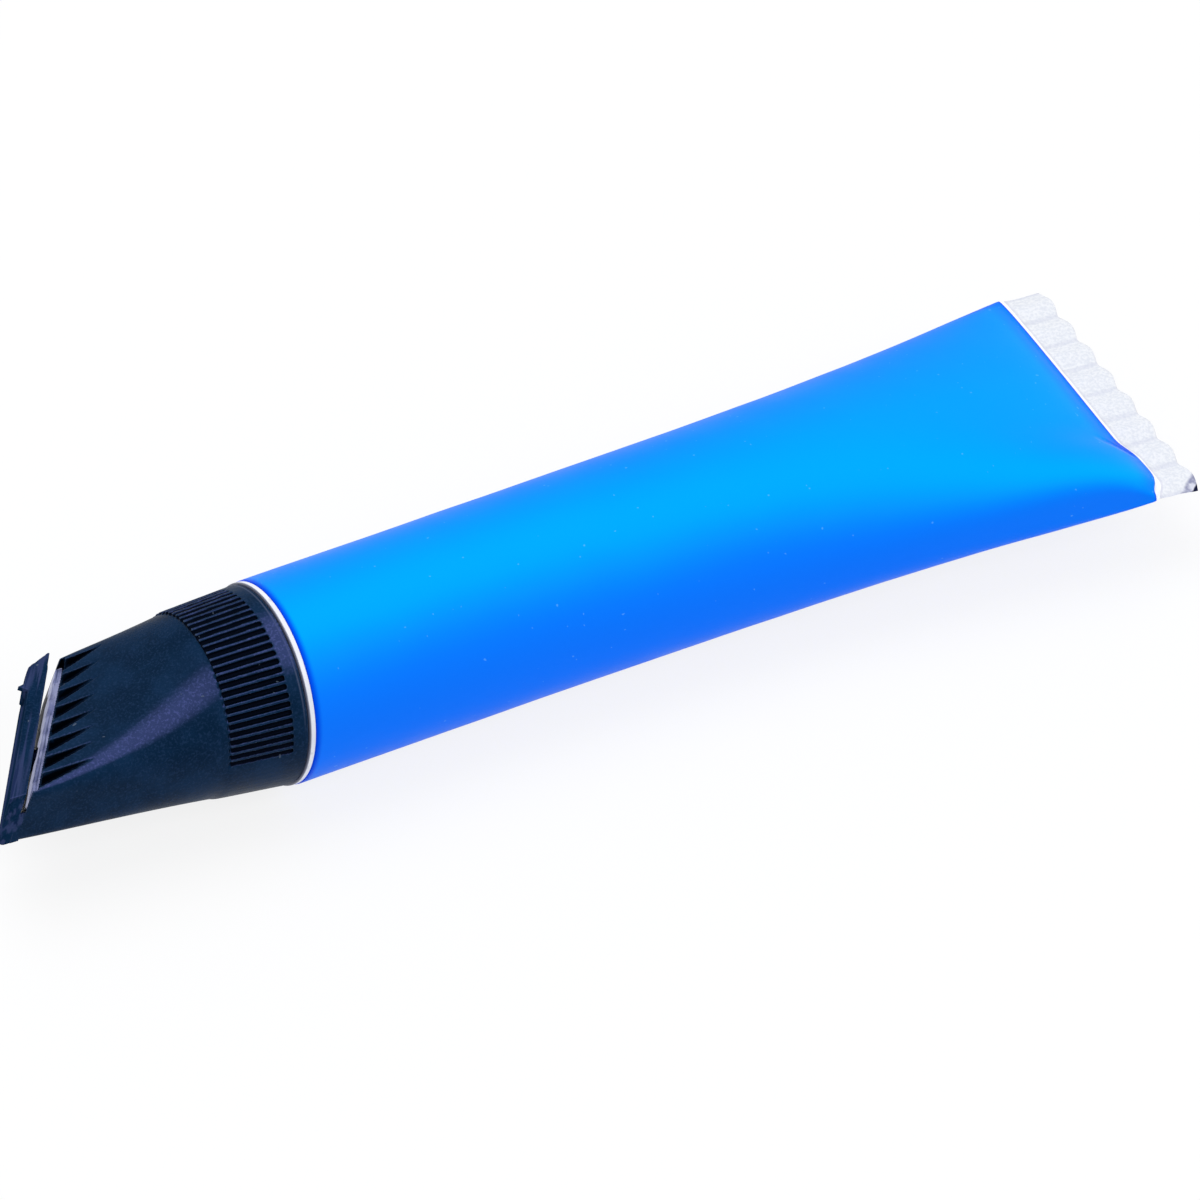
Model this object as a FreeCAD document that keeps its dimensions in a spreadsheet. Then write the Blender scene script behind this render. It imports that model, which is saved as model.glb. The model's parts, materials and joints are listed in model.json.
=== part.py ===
"""Soft glue tube with a screw-on comb spreader cap, lying on its side.

The model is built along the tube's own axis (+X runs from the cap to the crimped tail, z = 0 is the
axis, x = 0 is where the sleeve meets the moulded rim) and is then laid down as it rests: the stiff rim
and the flattened underside of the sleeve touch the plane Z = 0, and the origin is the centre of the
footprint. Lengths are millimetres, angles are degrees.
"""
import FreeCAD, Part
import math
import os

import Sketcher
from FreeCAD import Placement, Rotation, Vector

doc = FreeCAD.newDocument("glue_tube")
sheet = doc.addObject("Spreadsheet::Sheet", "Sizes")

# ---------------------------------------------------------------- driving dimensions
SIZES = [
    # the soft sleeve
    ("tube_diameter", 28.0, "round end of the sleeve"),
    ("sleeve_length", 127.6, "from the rim to the start of the crimp"),
    ("tail_flare", 2.9, "how late the sleeve widens towards its tail"),
    ("tail_up", 3.7, "tail's height above the head's axis, where the sleeve is bent"),
    ("tail_side", 5.4, "tail's distance to the side of the head's axis"),
    ("tail_thickness", 1.9, "sleeve where the crimp starts"),
    ("tail_squareness", 8.0, "outline there, near side: 2 is an ellipse, more is squarer"),
    ("tail_far_squareness", 2.6, "outline there, far side, where the sleeve is pressed flatter"),
    ("crimp_length", 6.9, "flat welded seam"),
    ("crimp_inset", 0.5, "seam's end inside the sleeve's edge"),
    ("crimp_thickness", 0.8, "two laminate walls pressed together"),
    ("crimp_wave", 0.25, "height of the seam's corrugation above its mean"),
    ("crimp_ridges", 8, "corrugations across the seam"),
    ("scallop_depth", 0.6, "waviness of the seam's outer edge"),
    ("rest_tilt", 2.6, "slope of the head's axis down to the tail, as the tube lies"),
    # the moulded head
    ("rim_width", 0.9, "white edge of the head, along the axis"),
    ("rim_inset", 0.1, "rim's edge inside the sleeve's skin"),
    ("shoulder_drop", 1.6, "depth of the shoulder's cone"),
    ("neck_radius", 7.0, "over the thread's crests"),
    ("neck_length", 9.0, "from the shoulder to the mouth"),
    ("neck_bore", 2.5, "radius of the mouth"),
    # the cap's collar
    ("collar_inset", 0.3, "collar's wide end inside the sleeve's skin"),
    ("collar_taper", 0.85, "narrowing of the collar towards the nose"),
    ("collar_length", 10.9, "along the axis"),
    ("collar_gap", 0.1, "between the collar and the shoulder"),
    ("cap_wall", 1.5, "outer wall of the cap"),
    ("thread_gap", 0.1, "between the neck and the cap's socket"),
    ("socket_wall", 1.4, "wall of the cap's socket"),
    ("mouth_gap", 0.4, "between the neck's mouth and the socket's floor"),
    ("rib_pitch", 5.0, "angle from one grip rib to the next"),
    ("rib_sector", 87.5, "half of the ribbed sector, from the top"),
    ("rib_depth", 0.45, "depth of the grooves between the ribs"),
    ("rib_groove", 0.38, "radius of the grooves' floor"),
    ("rib_band", 2.1, "plain band between the ribs and the rim"),
    # the nose and its comb
    ("lip_reach", 32.84, "from the rim to the middle of the lip's upper edge"),
    ("lip_width", 22.1, "across the tube"),
    ("lip_height", 8.6, "thickness of the nose at the lip"),
    ("lip_skew", 34.2, "angle of the lip to a square cut"),
    ("lip_lean", 11.8, "slope of the lip's face, its lower edge in front"),
    ("nose_hollow", 1.4, "how fast the nose thins behind the collar"),
    ("comb_grooves", 8, "grooves in the upper face"),
    ("comb_fin", 0.4, "thickness of the fins at the lip"),
    ("comb_edge", 0.4, "wall left at each end of the comb"),
    ("comb_depth", 2.2, "depth of the grooves at the lip"),
    ("comb_ledge", 0.74, "bare ledge between the fins' ends and the lip, along the tube"),
    ("comb_long", 8.9, "length of the groove at the hinged side"),
    ("comb_short", 6.7, "length of the groove at the other side"),
    # the way of the glue
    ("feed_radius", 2.4, "passage from the socket"),
    ("outlet_radius", 1.9, "hole in the lip's face"),
    ("outlet_depth", 2.6, "straight part of the hole, square to the lip"),
    ("outlet_side", 0.7, "outlet's distance from the axis, to the hinged side"),
    ("outlet_drop", 1.2, "outlet's distance below the axis"),
    # the closing strip
    ("strip_thickness", 2.05, "square to the lip"),
    ("strip_gap", 0.78, "from the lip's upper edge to the strip at the hinge"),
    ("strip_lean", 8.6, "slope of the strip's faces, its lower edge in front"),
    ("strip_open", 1.3, "angle at which the strip stands ajar"),
    ("strip_past", 0.3, "how far the strip's tip passes the lip's end"),
    ("tip_nose", 0.4, "blunt part of the tip, beside the slanted end"),
    ("tip_cut", 2.4, "length of the slanted end"),
    ("tab_height", 3.0, "finger tab at the free end, down from the upper face"),
    ("tab_out", 0.6, "tab's edge beyond the outer face"),
    ("barb_height", 0.7, "tab's barb, down from the upper face"),
    ("barb_out", 1.4, "barb's point beyond the outer face"),
    ("barb_from_tip", 7.5, "from the strip's tip to the barb's point"),
    ("barb_back", 0.4, "length of the barb's short side"),
    ("film_thickness", 0.4, "film hinge"),
    ("film_inset", 0.5, "film's root inside the nose"),
    ("film_drop", 3.6, "film's upper edge below the lip's"),
    ("film_gap", 0.1, "between the film's end and the strip"),
    ("plug_gap", 0.3, "between the plug and the outlet, all round"),
    ("plug_reach", 2.5, "length of the plug"),
    ("strip_round", 1.4, "round along the strip's lower outer edge"),
]
for row, (alias, value, meaning) in enumerate(SIZES, start=1):
    sheet.set(f"A{row}", meaning)
    sheet.set(f"B{row}", str(value))
    sheet.setAlias(f"B{row}", alias)
doc.recompute()


def size(alias):
    return float(getattr(sheet, alias))


def bind(item, **formulas):
    """Ties properties of an object to formulas in the sheet's names."""
    for name, formula in formulas.items():
        item.setExpression(name, formula)


TUBE_RADIUS = size("tube_diameter") / 2
RIM_RADIUS = TUBE_RADIUS - size("rim_inset")
COLLAR_RADIUS = TUBE_RADIUS - size("collar_inset")
COLLAR_FORMULA = "(Sizes.tube_diameter / 2 - Sizes.collar_inset)"
CRIMP_WIDTH = math.pi * TUBE_RADIUS
TAIL_X = size("sleeve_length")
LIP_SLOPE = math.tan(math.radians(size("lip_skew")))
SKEW = math.radians(size("lip_skew"))
LIP_LEAN = math.tan(math.radians(size("lip_lean"))) / math.cos(SKEW)
STRIP_LEAN = math.tan(math.radians(size("strip_lean"))) / math.cos(SKEW)
HALF_LIP = size("lip_width") / 2
HALF_HEIGHT = size("lip_height") / 2


# ---------------------------------------------------------------- the soft sleeve
def ellipse_height(half_width):
    """Half height of an ellipse as long round as the tube, by halving the interval."""
    low, high = 0.0, TUBE_RADIUS
    for _ in range(50):
        middle = (low + high) / 2
        spread = ((half_width - middle) / (half_width + middle)) ** 2
        around = math.pi * (half_width + middle) * (1 + 3 * spread / (10 + math.sqrt(4 - 3 * spread)))
        low, high = (middle, high) if around < 2 * math.pi * TUBE_RADIUS else (low, middle)
    return low


def closed_section(half_width, half_height, near, far, station, side_shift=0.0, up_shift=0.0):
    """Closed curve from an ellipse (squareness 2) to nearly a rectangle; station gives x from y and z.

    The near (-Y) and the far half each have a squareness. It is one smooth curve, given as four
    equally long edges.
    """
    count = 48
    points = []
    for index in range(count):
        angle = 2 * math.pi * index / count
        side, up = math.cos(angle), math.sin(angle)
        squareness = far if side > 0 else near
        stretch = (abs(side) ** squareness + abs(up) ** squareness) ** (-1 / squareness)
        across, height = half_width * side * stretch, half_height * up * stretch
        points.append(Vector(station(across, height), across + side_shift, height + up_shift))
    curve = Part.BSplineCurve()
    curve.interpolate(Points=points, PeriodicFlag=True, Parameters=[i / count for i in range(count + 1)])
    return Part.Wire([curve.toShape(quarter / 4, (quarter + 1) / 4) for quarter in range(4)])


def sleeve_section(share):
    """Outline of the sleeve at a share of its length: a circle that goes flat."""
    half_width = TUBE_RADIUS + (CRIMP_WIDTH / 2 - TUBE_RADIUS) * share ** size("tail_flare")
    half_height = max(ellipse_height(half_width), size("tail_thickness") / 2)
    near = 2 + (size("tail_squareness") - 2) * share ** 8
    far = 2 + (size("tail_far_squareness") - 2) * share ** 8
    shifts = size("tail_side") * share, size("tail_up") * share
    return closed_section(half_width, half_height, near, far, lambda y, z: share * TAIL_X, *shifts)


def crimp():
    """Corrugated seam: a wavy sheet trimmed to a scalloped outline."""
    ridges = int(size("crimp_ridges"))
    half_width = CRIMP_WIDTH / 2 - size("crimp_inset")
    overlap = size("crimp_length") / 8
    steps = ridges * 8

    def wave(side):
        points = []
        for index in range(steps + 1):
            across = -half_width + 2 * half_width * index / steps
            height = -size("crimp_wave") * math.cos(2 * math.pi * ridges * index / steps)
            points.append(Vector(TAIL_X - overlap, across, height + side * size("crimp_thickness") / 2))
        curve = Part.BSplineCurve()
        curve.interpolate(points)
        return curve.toShape(), points[0], points[-1]

    upper, upper_start, upper_end = wave(1)
    lower, lower_start, lower_end = wave(-1)
    ends = [Part.makeLine(upper_end, lower_end), Part.makeLine(lower_start, upper_start)]
    section = Part.Face(Part.Wire(Part.__sortEdges__([upper, lower] + ends)))
    band = section.extrude(Vector(size("crimp_length") + overlap, 0, 0))

    outer = TAIL_X + size("crimp_length")
    pitch = 2 * half_width / ridges
    edges = []
    for index in range(ridges):
        start = Vector(outer - size("scallop_depth"), -half_width + index * pitch, -TUBE_RADIUS)
        top = Vector(outer, start.y + pitch / 2, -TUBE_RADIUS)
        end = Vector(start.x, start.y + pitch, -TUBE_RADIUS)
        edges.append(Part.Arc(start, top, end).toShape())
    far_left = Vector(TAIL_X - overlap, half_width, -TUBE_RADIUS)
    far_right = Vector(TAIL_X - overlap, -half_width, -TUBE_RADIUS)
    edges.append(Part.makeLine(edges[-1].Vertexes[-1].Point, far_left))
    edges.append(Part.makeLine(far_left, far_right))
    edges.append(Part.makeLine(far_right, edges[0].Vertexes[0].Point))
    outline = Part.Face(Part.Wire(edges)).extrude(Vector(0, 0, 2 * TUBE_RADIUS))
    seam_solid = band.common(outline)
    seam_solid.translate(Vector(0, size("tail_side"), size("tail_up")))
    return seam_solid


def resting_box():
    """All that lies below the surface on which the tube rests, in the tube's own frame."""
    big = 2 * (size("sleeve_length") + size("lip_reach"))
    box = Part.makeBox(2 * big, big, TUBE_RADIUS, Vector(-big, -big / 2, -TUBE_RADIUS))
    box.rotate(Vector(0, 0, 0), Vector(0, 1, 0), -size("rest_tilt"))
    box.translate(Vector(0, 0, -RIM_RADIUS))
    return box


sleeve = doc.addObject("Part::Feature", "SleeveLoft")
shares = [0.0, 0.2, 0.4, 0.55, 0.7, 0.8, 0.88, 0.95, 1.0]
sleeve.Shape = Part.makeLoft([sleeve_section(share) for share in shares], True, False)
seam = doc.addObject("Part::Feature", "CrimpSeam")
seam.Shape = crimp()
floor_cut = doc.addObject("Part::Feature", "RestingPlane")
floor_cut.Shape = resting_box()
filled = doc.addObject("Part::Fuse", "SleeveWithSeam")
filled.Base, filled.Tool = sleeve, seam
tube_sleeve = doc.addObject("Part::Cut", "TubeSleeve")
tube_sleeve.Base, tube_sleeve.Tool = filled, floor_cut
tube_sleeve.Label = "tube_sleeve"


# ---------------------------------------------------------------- the moulded head
def origin_plane(body, role):
    return next(f for f in body.Origin.OriginFeatures if f.Role == role)


def draw_outline(sketch, corners):
    """Closed outline of straight edges. A corner is its two coordinates, each a value and its formula."""
    spots = [Vector(x, y, 0) for (x, _), (y, _) in corners]
    for start, end in zip(spots, spots[1:] + spots[:1]):
        sketch.addGeometry(Part.LineSegment(start, end), False)
    for index, corner in enumerate(corners):
        before = (index - 1) % len(corners)
        sketch.addConstraint(Sketcher.Constraint("Coincident", before, 2, index, 1))
        for kind, (value, formula) in zip(("DistanceX", "DistanceY"), corner):
            number = sketch.addConstraint(Sketcher.Constraint(kind, -1, 1, index, 1, value))
            sketch.setExpression(f"Constraints[{number}]", formula)


shoulder_neck = doc.addObject("PartDesign::Body", "HeadBody")
shoulder_neck.Label = "shoulder_neck"
profile = shoulder_neck.newObject("Sketcher::SketchObject", "HeadProfile")
profile.AttachmentSupport = (origin_plane(shoulder_neck, "XZ_Plane"), [""])
profile.MapMode = "FlatFace"

RIM_FACE = -size("rim_width")
SHOULDER_END = RIM_FACE - size("shoulder_drop")
MOUTH = SHOULDER_END - size("neck_length")
rear = (0.0, "0")
rim_face = (RIM_FACE, "-Sizes.rim_width")
shoulder_end = (SHOULDER_END, "-Sizes.rim_width - Sizes.shoulder_drop")
mouth = (MOUTH, "-Sizes.rim_width - Sizes.shoulder_drop - Sizes.neck_length")
bore = (size("neck_bore"), "Sizes.neck_bore")
rim = (RIM_RADIUS, "Sizes.tube_diameter / 2 - Sizes.rim_inset")
ledge = (COLLAR_RADIUS - size("cap_wall"), COLLAR_FORMULA + " - Sizes.cap_wall")
neck = (size("neck_radius"), "Sizes.neck_radius")
draw_outline(
    profile,
    [
        (rear, bore),
        (rear, rim),
        (rim_face, rim),
        (rim_face, ledge),
        (shoulder_end, neck),
        (mouth, neck),
        (mouth, bore),
    ],
)
turned = shoulder_neck.newObject("PartDesign::Revolution", "HeadTurned")
turned.Profile = profile
turned.ReferenceAxis = (profile, ["H_Axis"])
turned.Angle = 360


# ---------------------------------------------------------------- the cap: collar and nose
COLLAR_START = RIM_FACE - size("collar_gap")
COLLAR_END = COLLAR_START - size("collar_length")
ALONG_TUBE = Rotation(Vector(0, 1, 0), -90)


def lip_x(across, height):
    """Place of the lip's leaning, skewed face."""
    return -size("lip_reach") + LIP_SLOPE * across - LIP_LEAN * (HALF_HEIGHT - height)


def strip_x(height):
    """Place of the strip's inner face at its hinged end, before it stands ajar."""
    upper = lip_x(-HALF_LIP, HALF_HEIGHT) - size("strip_gap") / math.cos(SKEW)
    return upper - STRIP_LEAN * (HALF_HEIGHT - height)


def turned_solid(kind, name, x_formula, **formulas):
    """Cylinder or cone along the tube's axis, growing from a station towards the cap's nose."""
    solid = doc.addObject(kind, name)
    bind(solid, **formulas)
    solid.Placement = Placement(Vector(0, 0, 0), ALONG_TUBE)
    solid.setExpression(".Placement.Base.x", x_formula)
    return solid


NOSE_START = COLLAR_END + size("rim_width")


def nose_shape(share):
    """Half width, half height and squareness of the nose: round at the collar, flat at the lip."""
    base_radius = COLLAR_RADIUS - size("collar_taper") - size("collar_gap")
    half_width = base_radius + (HALF_LIP - base_radius) * share
    half_height = HALF_HEIGHT + (base_radius - HALF_HEIGHT) * (1 - share) ** size("nose_hollow")
    return half_width, half_height, 2 + 2 * share + 10 * share ** 4


def nose_section(share):
    """Outline of the nose, more and more skewed towards the lip."""

    def station(across, height):
        return NOSE_START + (lip_x(across, height) - NOSE_START) * share

    half_width, half_height, squareness = nose_shape(share)
    return closed_section(half_width, half_height, squareness, squareness, station)


def nose_height(x, across):
    """Height of the nose's upper face above the axis."""
    share = (NOSE_START - x) / (NOSE_START - lip_x(across, HALF_HEIGHT))
    half_width, half_height, squareness = nose_shape(share)
    return half_height * (1 - abs(across / half_width) ** squareness) ** (1 / squareness)


collar = turned_solid(
    "Part::Cone",
    "Collar",
    "-Sizes.rim_width - Sizes.collar_gap",
    Radius1=COLLAR_FORMULA,
    Radius2=COLLAR_FORMULA + " - Sizes.collar_taper",
    Height="Sizes.collar_length",
)
nose = doc.addObject("Part::Feature", "Nose")
nose.Shape = Part.makeLoft([nose_section(share) for share in (0.0, 0.25, 0.5, 0.75, 1.0)], True, False)


# ---------------------------------------------------------------- the cap: film hinge
FILM_TOP = HALF_HEIGHT - size("film_drop")
FILM_FOOT = -HALF_HEIGHT + size("film_thickness")


def film_outline(height):
    """The web's outline at a height, from inside the nose to just off the closing strip."""
    edge = size("film_thickness")
    root = lip_x(-HALF_LIP, height) + size("film_inset")
    end = strip_x(height) + size("film_gap")
    spots = [
        Vector(x + LIP_SLOPE * inset, -HALF_LIP + inset, height)
        for x, inset in ((end, 0.0), (root, 0.0), (root, edge), (end, edge))
    ]
    return Part.makePolygon(spots + spots[:1])


web = doc.addObject("Part::Feature", "FilmHinge")
web.Shape = Part.makeLoft([film_outline(FILM_FOOT), film_outline(FILM_TOP)], True, True)
cap_outside = doc.addObject("Part::MultiFuse", "CapOutside")
cap_outside.Shapes = [collar, nose, web]


# ---------------------------------------------------------------- the cap: what is cut away
def comb_groove(number):
    """Tapered groove: a point on the upper face, widest and deepest at the lip."""
    count = int(size("comb_grooves"))
    pitch = (size("lip_width") - 2 * size("comb_edge")) / count
    across = HALF_LIP - size("comb_edge") - pitch * (number + 0.5)
    share = number / (count - 1)
    length = size("comb_short") + (size("comb_long") - size("comb_short")) * share
    lip = lip_x(across, HALF_HEIGHT)
    rise = nose_height(lip + length, across) - HALF_HEIGHT
    half_width = (pitch - size("comb_fin")) / 2
    past = 1.3

    def cross(x, scale):
        floor = HALF_HEIGHT + rise - (rise + size("comb_depth")) * scale
        surface = HALF_HEIGHT + rise * (1 - scale) + 0.05
        top = floor + size("lip_height")
        foot = 0.6 * half_width * scale + 0.02
        brim = half_width * scale + 0.04
        spots = [
            Vector(x, across - foot, floor),
            Vector(x, across + foot, floor),
            Vector(x, across + brim, surface),
            Vector(x, across + brim, top),
            Vector(x, across - brim, top),
            Vector(x, across - brim, surface),
        ]
        return Part.makePolygon(spots + spots[:1])

    return Part.makeLoft([cross(lip + length, 0.0), cross(lip + length * (1 - past), past)], True, True)


def bare_ledge():
    """What is taken from above the ledge, between the fins' ends and the lip."""
    floor = HALF_HEIGHT - size("comb_depth")
    half = HALF_LIP - size("comb_edge")
    past = size("comb_ledge") + LIP_LEAN * size("comb_depth")
    spots = [
        Vector(lip_x(side, HALF_HEIGHT) + along, side, floor)
        for side, along in (
            (-half, size("comb_ledge")), (half, size("comb_ledge")), (half, -past), (-half, -past),
        )
    ]
    return Part.Face(Part.makePolygon(spots + spots[:1])).extrude(Vector(0, 0, size("lip_height")))


def rib_groove(angle):
    """Round-bottomed groove down the collar, open towards the nose."""
    slope = size("collar_taper") / size("collar_length")
    start_x = COLLAR_START - size("rib_band")
    inset = size("rib_depth") - size("rib_groove")
    start = Vector(start_x, 0, COLLAR_RADIUS - slope * size("rib_band") - inset)
    direction = Vector(-1, 0, -slope)
    length = size("collar_length") - size("rib_band") + size("rib_groove")
    groove = Part.makeCylinder(size("rib_groove"), length, start, direction)
    groove.rotate(Vector(0, 0, 0), Vector(1, 0, 0), angle)
    return groove


comb = doc.addObject("Part::Feature", "CombGrooves")
comb.Shape = Part.makeCompound([comb_groove(number) for number in range(int(size("comb_grooves")))])
above_ledge = doc.addObject("Part::Feature", "AboveLedge")
above_ledge.Shape = bare_ledge()
ribs = doc.addObject("Part::Feature", "RibGrooves")
steps = int(2 * size("rib_sector") / size("rib_pitch"))
first = -size("rib_pitch") * steps / 2
ribs.Shape = Part.makeCompound([rib_groove(first + size("rib_pitch") * step) for step in range(steps + 1)])

socket = turned_solid(
    "Part::Cylinder",
    "Socket",
    "-Sizes.rim_width",
    Radius="Sizes.neck_radius + Sizes.thread_gap",
    Height="Sizes.shoulder_drop + Sizes.neck_length + Sizes.mouth_gap",
)
hollow = turned_solid(
    "Part::Cone",
    "CollarHollow",
    "-Sizes.rim_width",
    Radius1=COLLAR_FORMULA + " - Sizes.cap_wall",
    Radius2=COLLAR_FORMULA + " - Sizes.collar_taper - Sizes.cap_wall",
    Height="Sizes.collar_length - Sizes.cap_wall",
)
boss = turned_solid(
    "Part::Cylinder",
    "SocketWall",
    "-Sizes.rim_width - Sizes.shoulder_drop - Sizes.mouth_gap",
    Radius="Sizes.neck_radius + Sizes.thread_gap + Sizes.socket_wall",
    Height="Sizes.collar_length",
)
ring_hollow = doc.addObject("Part::Cut", "RingHollow")
ring_hollow.Base, ring_hollow.Tool = hollow, boss
feed = turned_solid(
    "Part::Cylinder",
    "Feed",
    "-Sizes.rim_width - Sizes.shoulder_drop - Sizes.neck_length",
    Radius="Sizes.feed_radius",
    Height="Sizes.mouth_gap + 2 * Sizes.cap_wall",
)


def outlet():
    """Hole square to the lip, carried on along the tube to the feed."""
    outward = Vector(-math.cos(SKEW), math.sin(SKEW), 0)
    across, height = -size("outlet_side"), -size("outlet_drop")
    mouth_centre = Vector(lip_x(across, height), across, height)
    inner = mouth_centre - outward * size("outlet_depth")
    reach = size("outlet_depth") + 2 * size("outlet_radius")
    hole = Part.makeCylinder(size("outlet_radius"), reach, inner, outward)
    bend = Part.makeSphere(size("outlet_radius"), inner)
    run = Part.makeCylinder(size("outlet_radius"), COLLAR_END - inner.x, inner, Vector(1, 0, 0))
    return hole.fuse([bend, run])


way_out = doc.addObject("Part::Feature", "Outlet")
way_out.Shape = outlet()
cap_inside = doc.addObject("Part::MultiFuse", "CapInside")
cap_inside.Shapes = [socket, ring_hollow, feed, way_out]
cap_hollow = doc.addObject("Part::Cut", "CapHollow")
cap_hollow.Base, cap_hollow.Tool = cap_outside, cap_inside
cap_combed = doc.addObject("Part::Cut", "CapCombed")
cap_combed.Base, cap_combed.Tool = cap_hollow, comb
cap_ledged = doc.addObject("Part::Cut", "CapLedged")
cap_ledged.Base, cap_ledged.Tool = cap_combed, above_ledge
spreader_cap = doc.addObject("Part::Cut", "SpreaderCap")
spreader_cap.Base, spreader_cap.Tool = cap_ledged, ribs
spreader_cap.Label = "spreader_cap"


# ---------------------------------------------------------------- the closing strip
closing_bar = doc.addObject("PartDesign::Body", "StripBody")
closing_bar.Label = "closing_bar"
UPPER_EDGE = Vector(lip_x(-HALF_LIP, HALF_HEIGHT), -HALF_LIP, HALF_HEIGHT)


def strip_pad(name, corners, depth_formula):
    """Outline drawn in the strip's upper face and pushed down along the lean."""
    plan = closing_bar.newObject("Sketcher::SketchObject", name + "Plan")
    plan.AttachmentSupport = (origin_plane(closing_bar, "XY_Plane"), [""])
    plan.MapMode = "FlatFace"
    plan.AttachmentOffset = Placement(UPPER_EDGE, Rotation(Vector(0, 0, 1), 90 - size("lip_skew")))
    for field, formula in (
        ("Base.x", "-Sizes.lip_reach - tan(Sizes.lip_skew * 1 deg) * Sizes.lip_width / 2"),
        ("Base.y", "-Sizes.lip_width / 2"),
        ("Base.z", "Sizes.lip_height / 2"),
        ("Rotation.Angle", "90 - Sizes.lip_skew"),
    ):
        plan.setExpression(".AttachmentOffset." + field, formula)
    draw_outline(plan, corners)
    pad = closing_bar.newObject("PartDesign::Pad", name)
    pad.Profile = plan
    pad.UseCustomVector = True
    pad.Direction = Vector(-STRIP_LEAN, 0, -1)
    pad.AlongSketchNormal = True
    bind(pad, Length=depth_formula)
    doc.recompute()


# in the plan the first coordinate runs from the hinge to the free end, the second away from the lip
inner = size("strip_gap")
inner_f = "Sizes.strip_gap"
outer = inner + size("strip_thickness")
outer_f = "Sizes.strip_gap + Sizes.strip_thickness"
blunt = inner + size("tip_nose")
blunt_f = inner_f + " + Sizes.tip_nose"
tip = size("lip_width") / math.cos(SKEW) + size("strip_past")
tip_f = "Sizes.lip_width / cos(Sizes.lip_skew * 1 deg) + Sizes.strip_past"
slope_f = "tan(Sizes.lip_skew * 1 deg)"
strip_pad(
    "StripBlade",
    [
        ((-LIP_SLOPE * inner, f"-{slope_f} * {inner_f}"), (inner, inner_f)),
        ((tip, tip_f), (inner, inner_f)),
        ((tip, tip_f), (blunt, blunt_f)),
        ((tip - size("tip_cut"), tip_f + " - Sizes.tip_cut"), (outer, outer_f)),
        ((-LIP_SLOPE * outer, f"-{slope_f} * ({outer_f})"), (outer, outer_f)),
    ],
    "Sizes.lip_height",
)
# the slanted end runs on to the edge of the tab
edge = outer + size("tab_out")
edge_f = outer_f + " + Sizes.tab_out"
slant = size("tip_cut") * (1 + size("tab_out") / (size("strip_thickness") - size("tip_nose")))
slant_f = "Sizes.tip_cut * (1 + Sizes.tab_out / (Sizes.strip_thickness - Sizes.tip_nose))"
barb = tip - size("barb_from_tip")
barb_f = tip_f + " - Sizes.barb_from_tip"
back = (barb - size("barb_back"), barb_f + " - Sizes.barb_back")
front = (barb + 2 * size("barb_back"), barb_f + " + 2 * Sizes.barb_back")
strip_pad(
    "StripTab",
    [
        ((tip, tip_f), (blunt, blunt_f)),
        ((tip - slant, f"{tip_f} - {slant_f}"), (edge, edge_f)),
        ((barb, barb_f), (edge, edge_f)),
        (back, (outer, outer_f)),
        (back, (blunt, blunt_f)),
    ],
    "Sizes.tab_height",
)
strip_pad(
    "StripBarb",
    [
        (front, (blunt, blunt_f)),
        (front, (edge, edge_f)),
        ((barb, barb_f), (outer + size("barb_out"), outer_f + " + Sizes.barb_out")),
        (back, (outer, outer_f)),
        (back, (blunt, blunt_f)),
    ],
    "Sizes.barb_height",
)


def plug_foot():
    """Centre of the plug's foot on the strip's inner face."""
    outward = Vector(-math.cos(SKEW), math.sin(SKEW), 0)
    across, height = -size("outlet_side"), -size("outlet_drop")
    nearer = (LIP_LEAN - STRIP_LEAN) * (HALF_HEIGHT - height) * math.cos(SKEW)
    mouth_centre = Vector(lip_x(across, height), across, height)
    return mouth_centre + outward * (size("strip_gap") - nearer), outward


foot, outward = plug_foot()
plug = closing_bar.newObject("PartDesign::AdditiveCone", "StripPlug")
bind(
    plug,
    Radius1="Sizes.outlet_radius - Sizes.plug_gap",
    Radius2="Sizes.outlet_radius - 2 * Sizes.plug_gap",
    Height="Sizes.plug_reach + Sizes.strip_thickness / 2",
)
plug_turn = Rotation(Vector(0, 0, 1), -outward)
plug.Placement = Placement(foot + outward * size("strip_thickness") / 2, plug_turn)
doc.recompute()

low = -HALF_HEIGHT + 0.01
outer_edges = [
    f"Edge{number}"
    for number, edge in enumerate(plug.Shape.Edges, start=1)
    if edge.BoundBox.ZMax < low and edge.Length > size("lip_width") / 2
    and edge.CenterOfMass.x < foot.x - STRIP_LEAN * HALF_HEIGHT
]
lower_round = closing_bar.newObject("PartDesign::Fillet", "StripRound")
lower_round.Base = (plug, outer_edges)
bind(lower_round, Radius="Sizes.strip_round")
doc.recompute()

# ---------------------------------------------------------------- laid down as the tube rests
PARTS = [tube_sleeve, shoulder_neck, spreader_cap, closing_bar]
FILM_MIDDLE = (FILM_TOP + FILM_FOOT) / 2
hinge_foot = Vector((lip_x(-HALF_LIP, FILM_MIDDLE) + strip_x(FILM_MIDDLE)) / 2, -HALF_LIP, FILM_MIDDLE)
hinge_axis = Vector(STRIP_LEAN, 0, 1)
ajar = Placement(Vector(0, 0, 0), Rotation(hinge_axis, size("strip_open")), hinge_foot)
tilt = Placement(Vector(0, 0, 0), Rotation(Vector(0, 1, 0), size("rest_tilt")), Vector(0, 0, -RIM_RADIUS))
closing_bar.Placement = ajar
doc.recompute()
spans = [part.Shape.transformed(tilt.toMatrix(), copy=True).BoundBox for part in PARTS]
middle_x = (min(span.XMin for span in spans) + max(span.XMax for span in spans)) / 2
middle_y = (min(span.YMin for span in spans) + max(span.YMax for span in spans)) / 2
lift = Placement(Vector(-middle_x, -middle_y, RIM_RADIUS), Rotation())
for part in PARTS:
    part.Placement = lift * tilt * part.Placement
doc.recompute()

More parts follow.
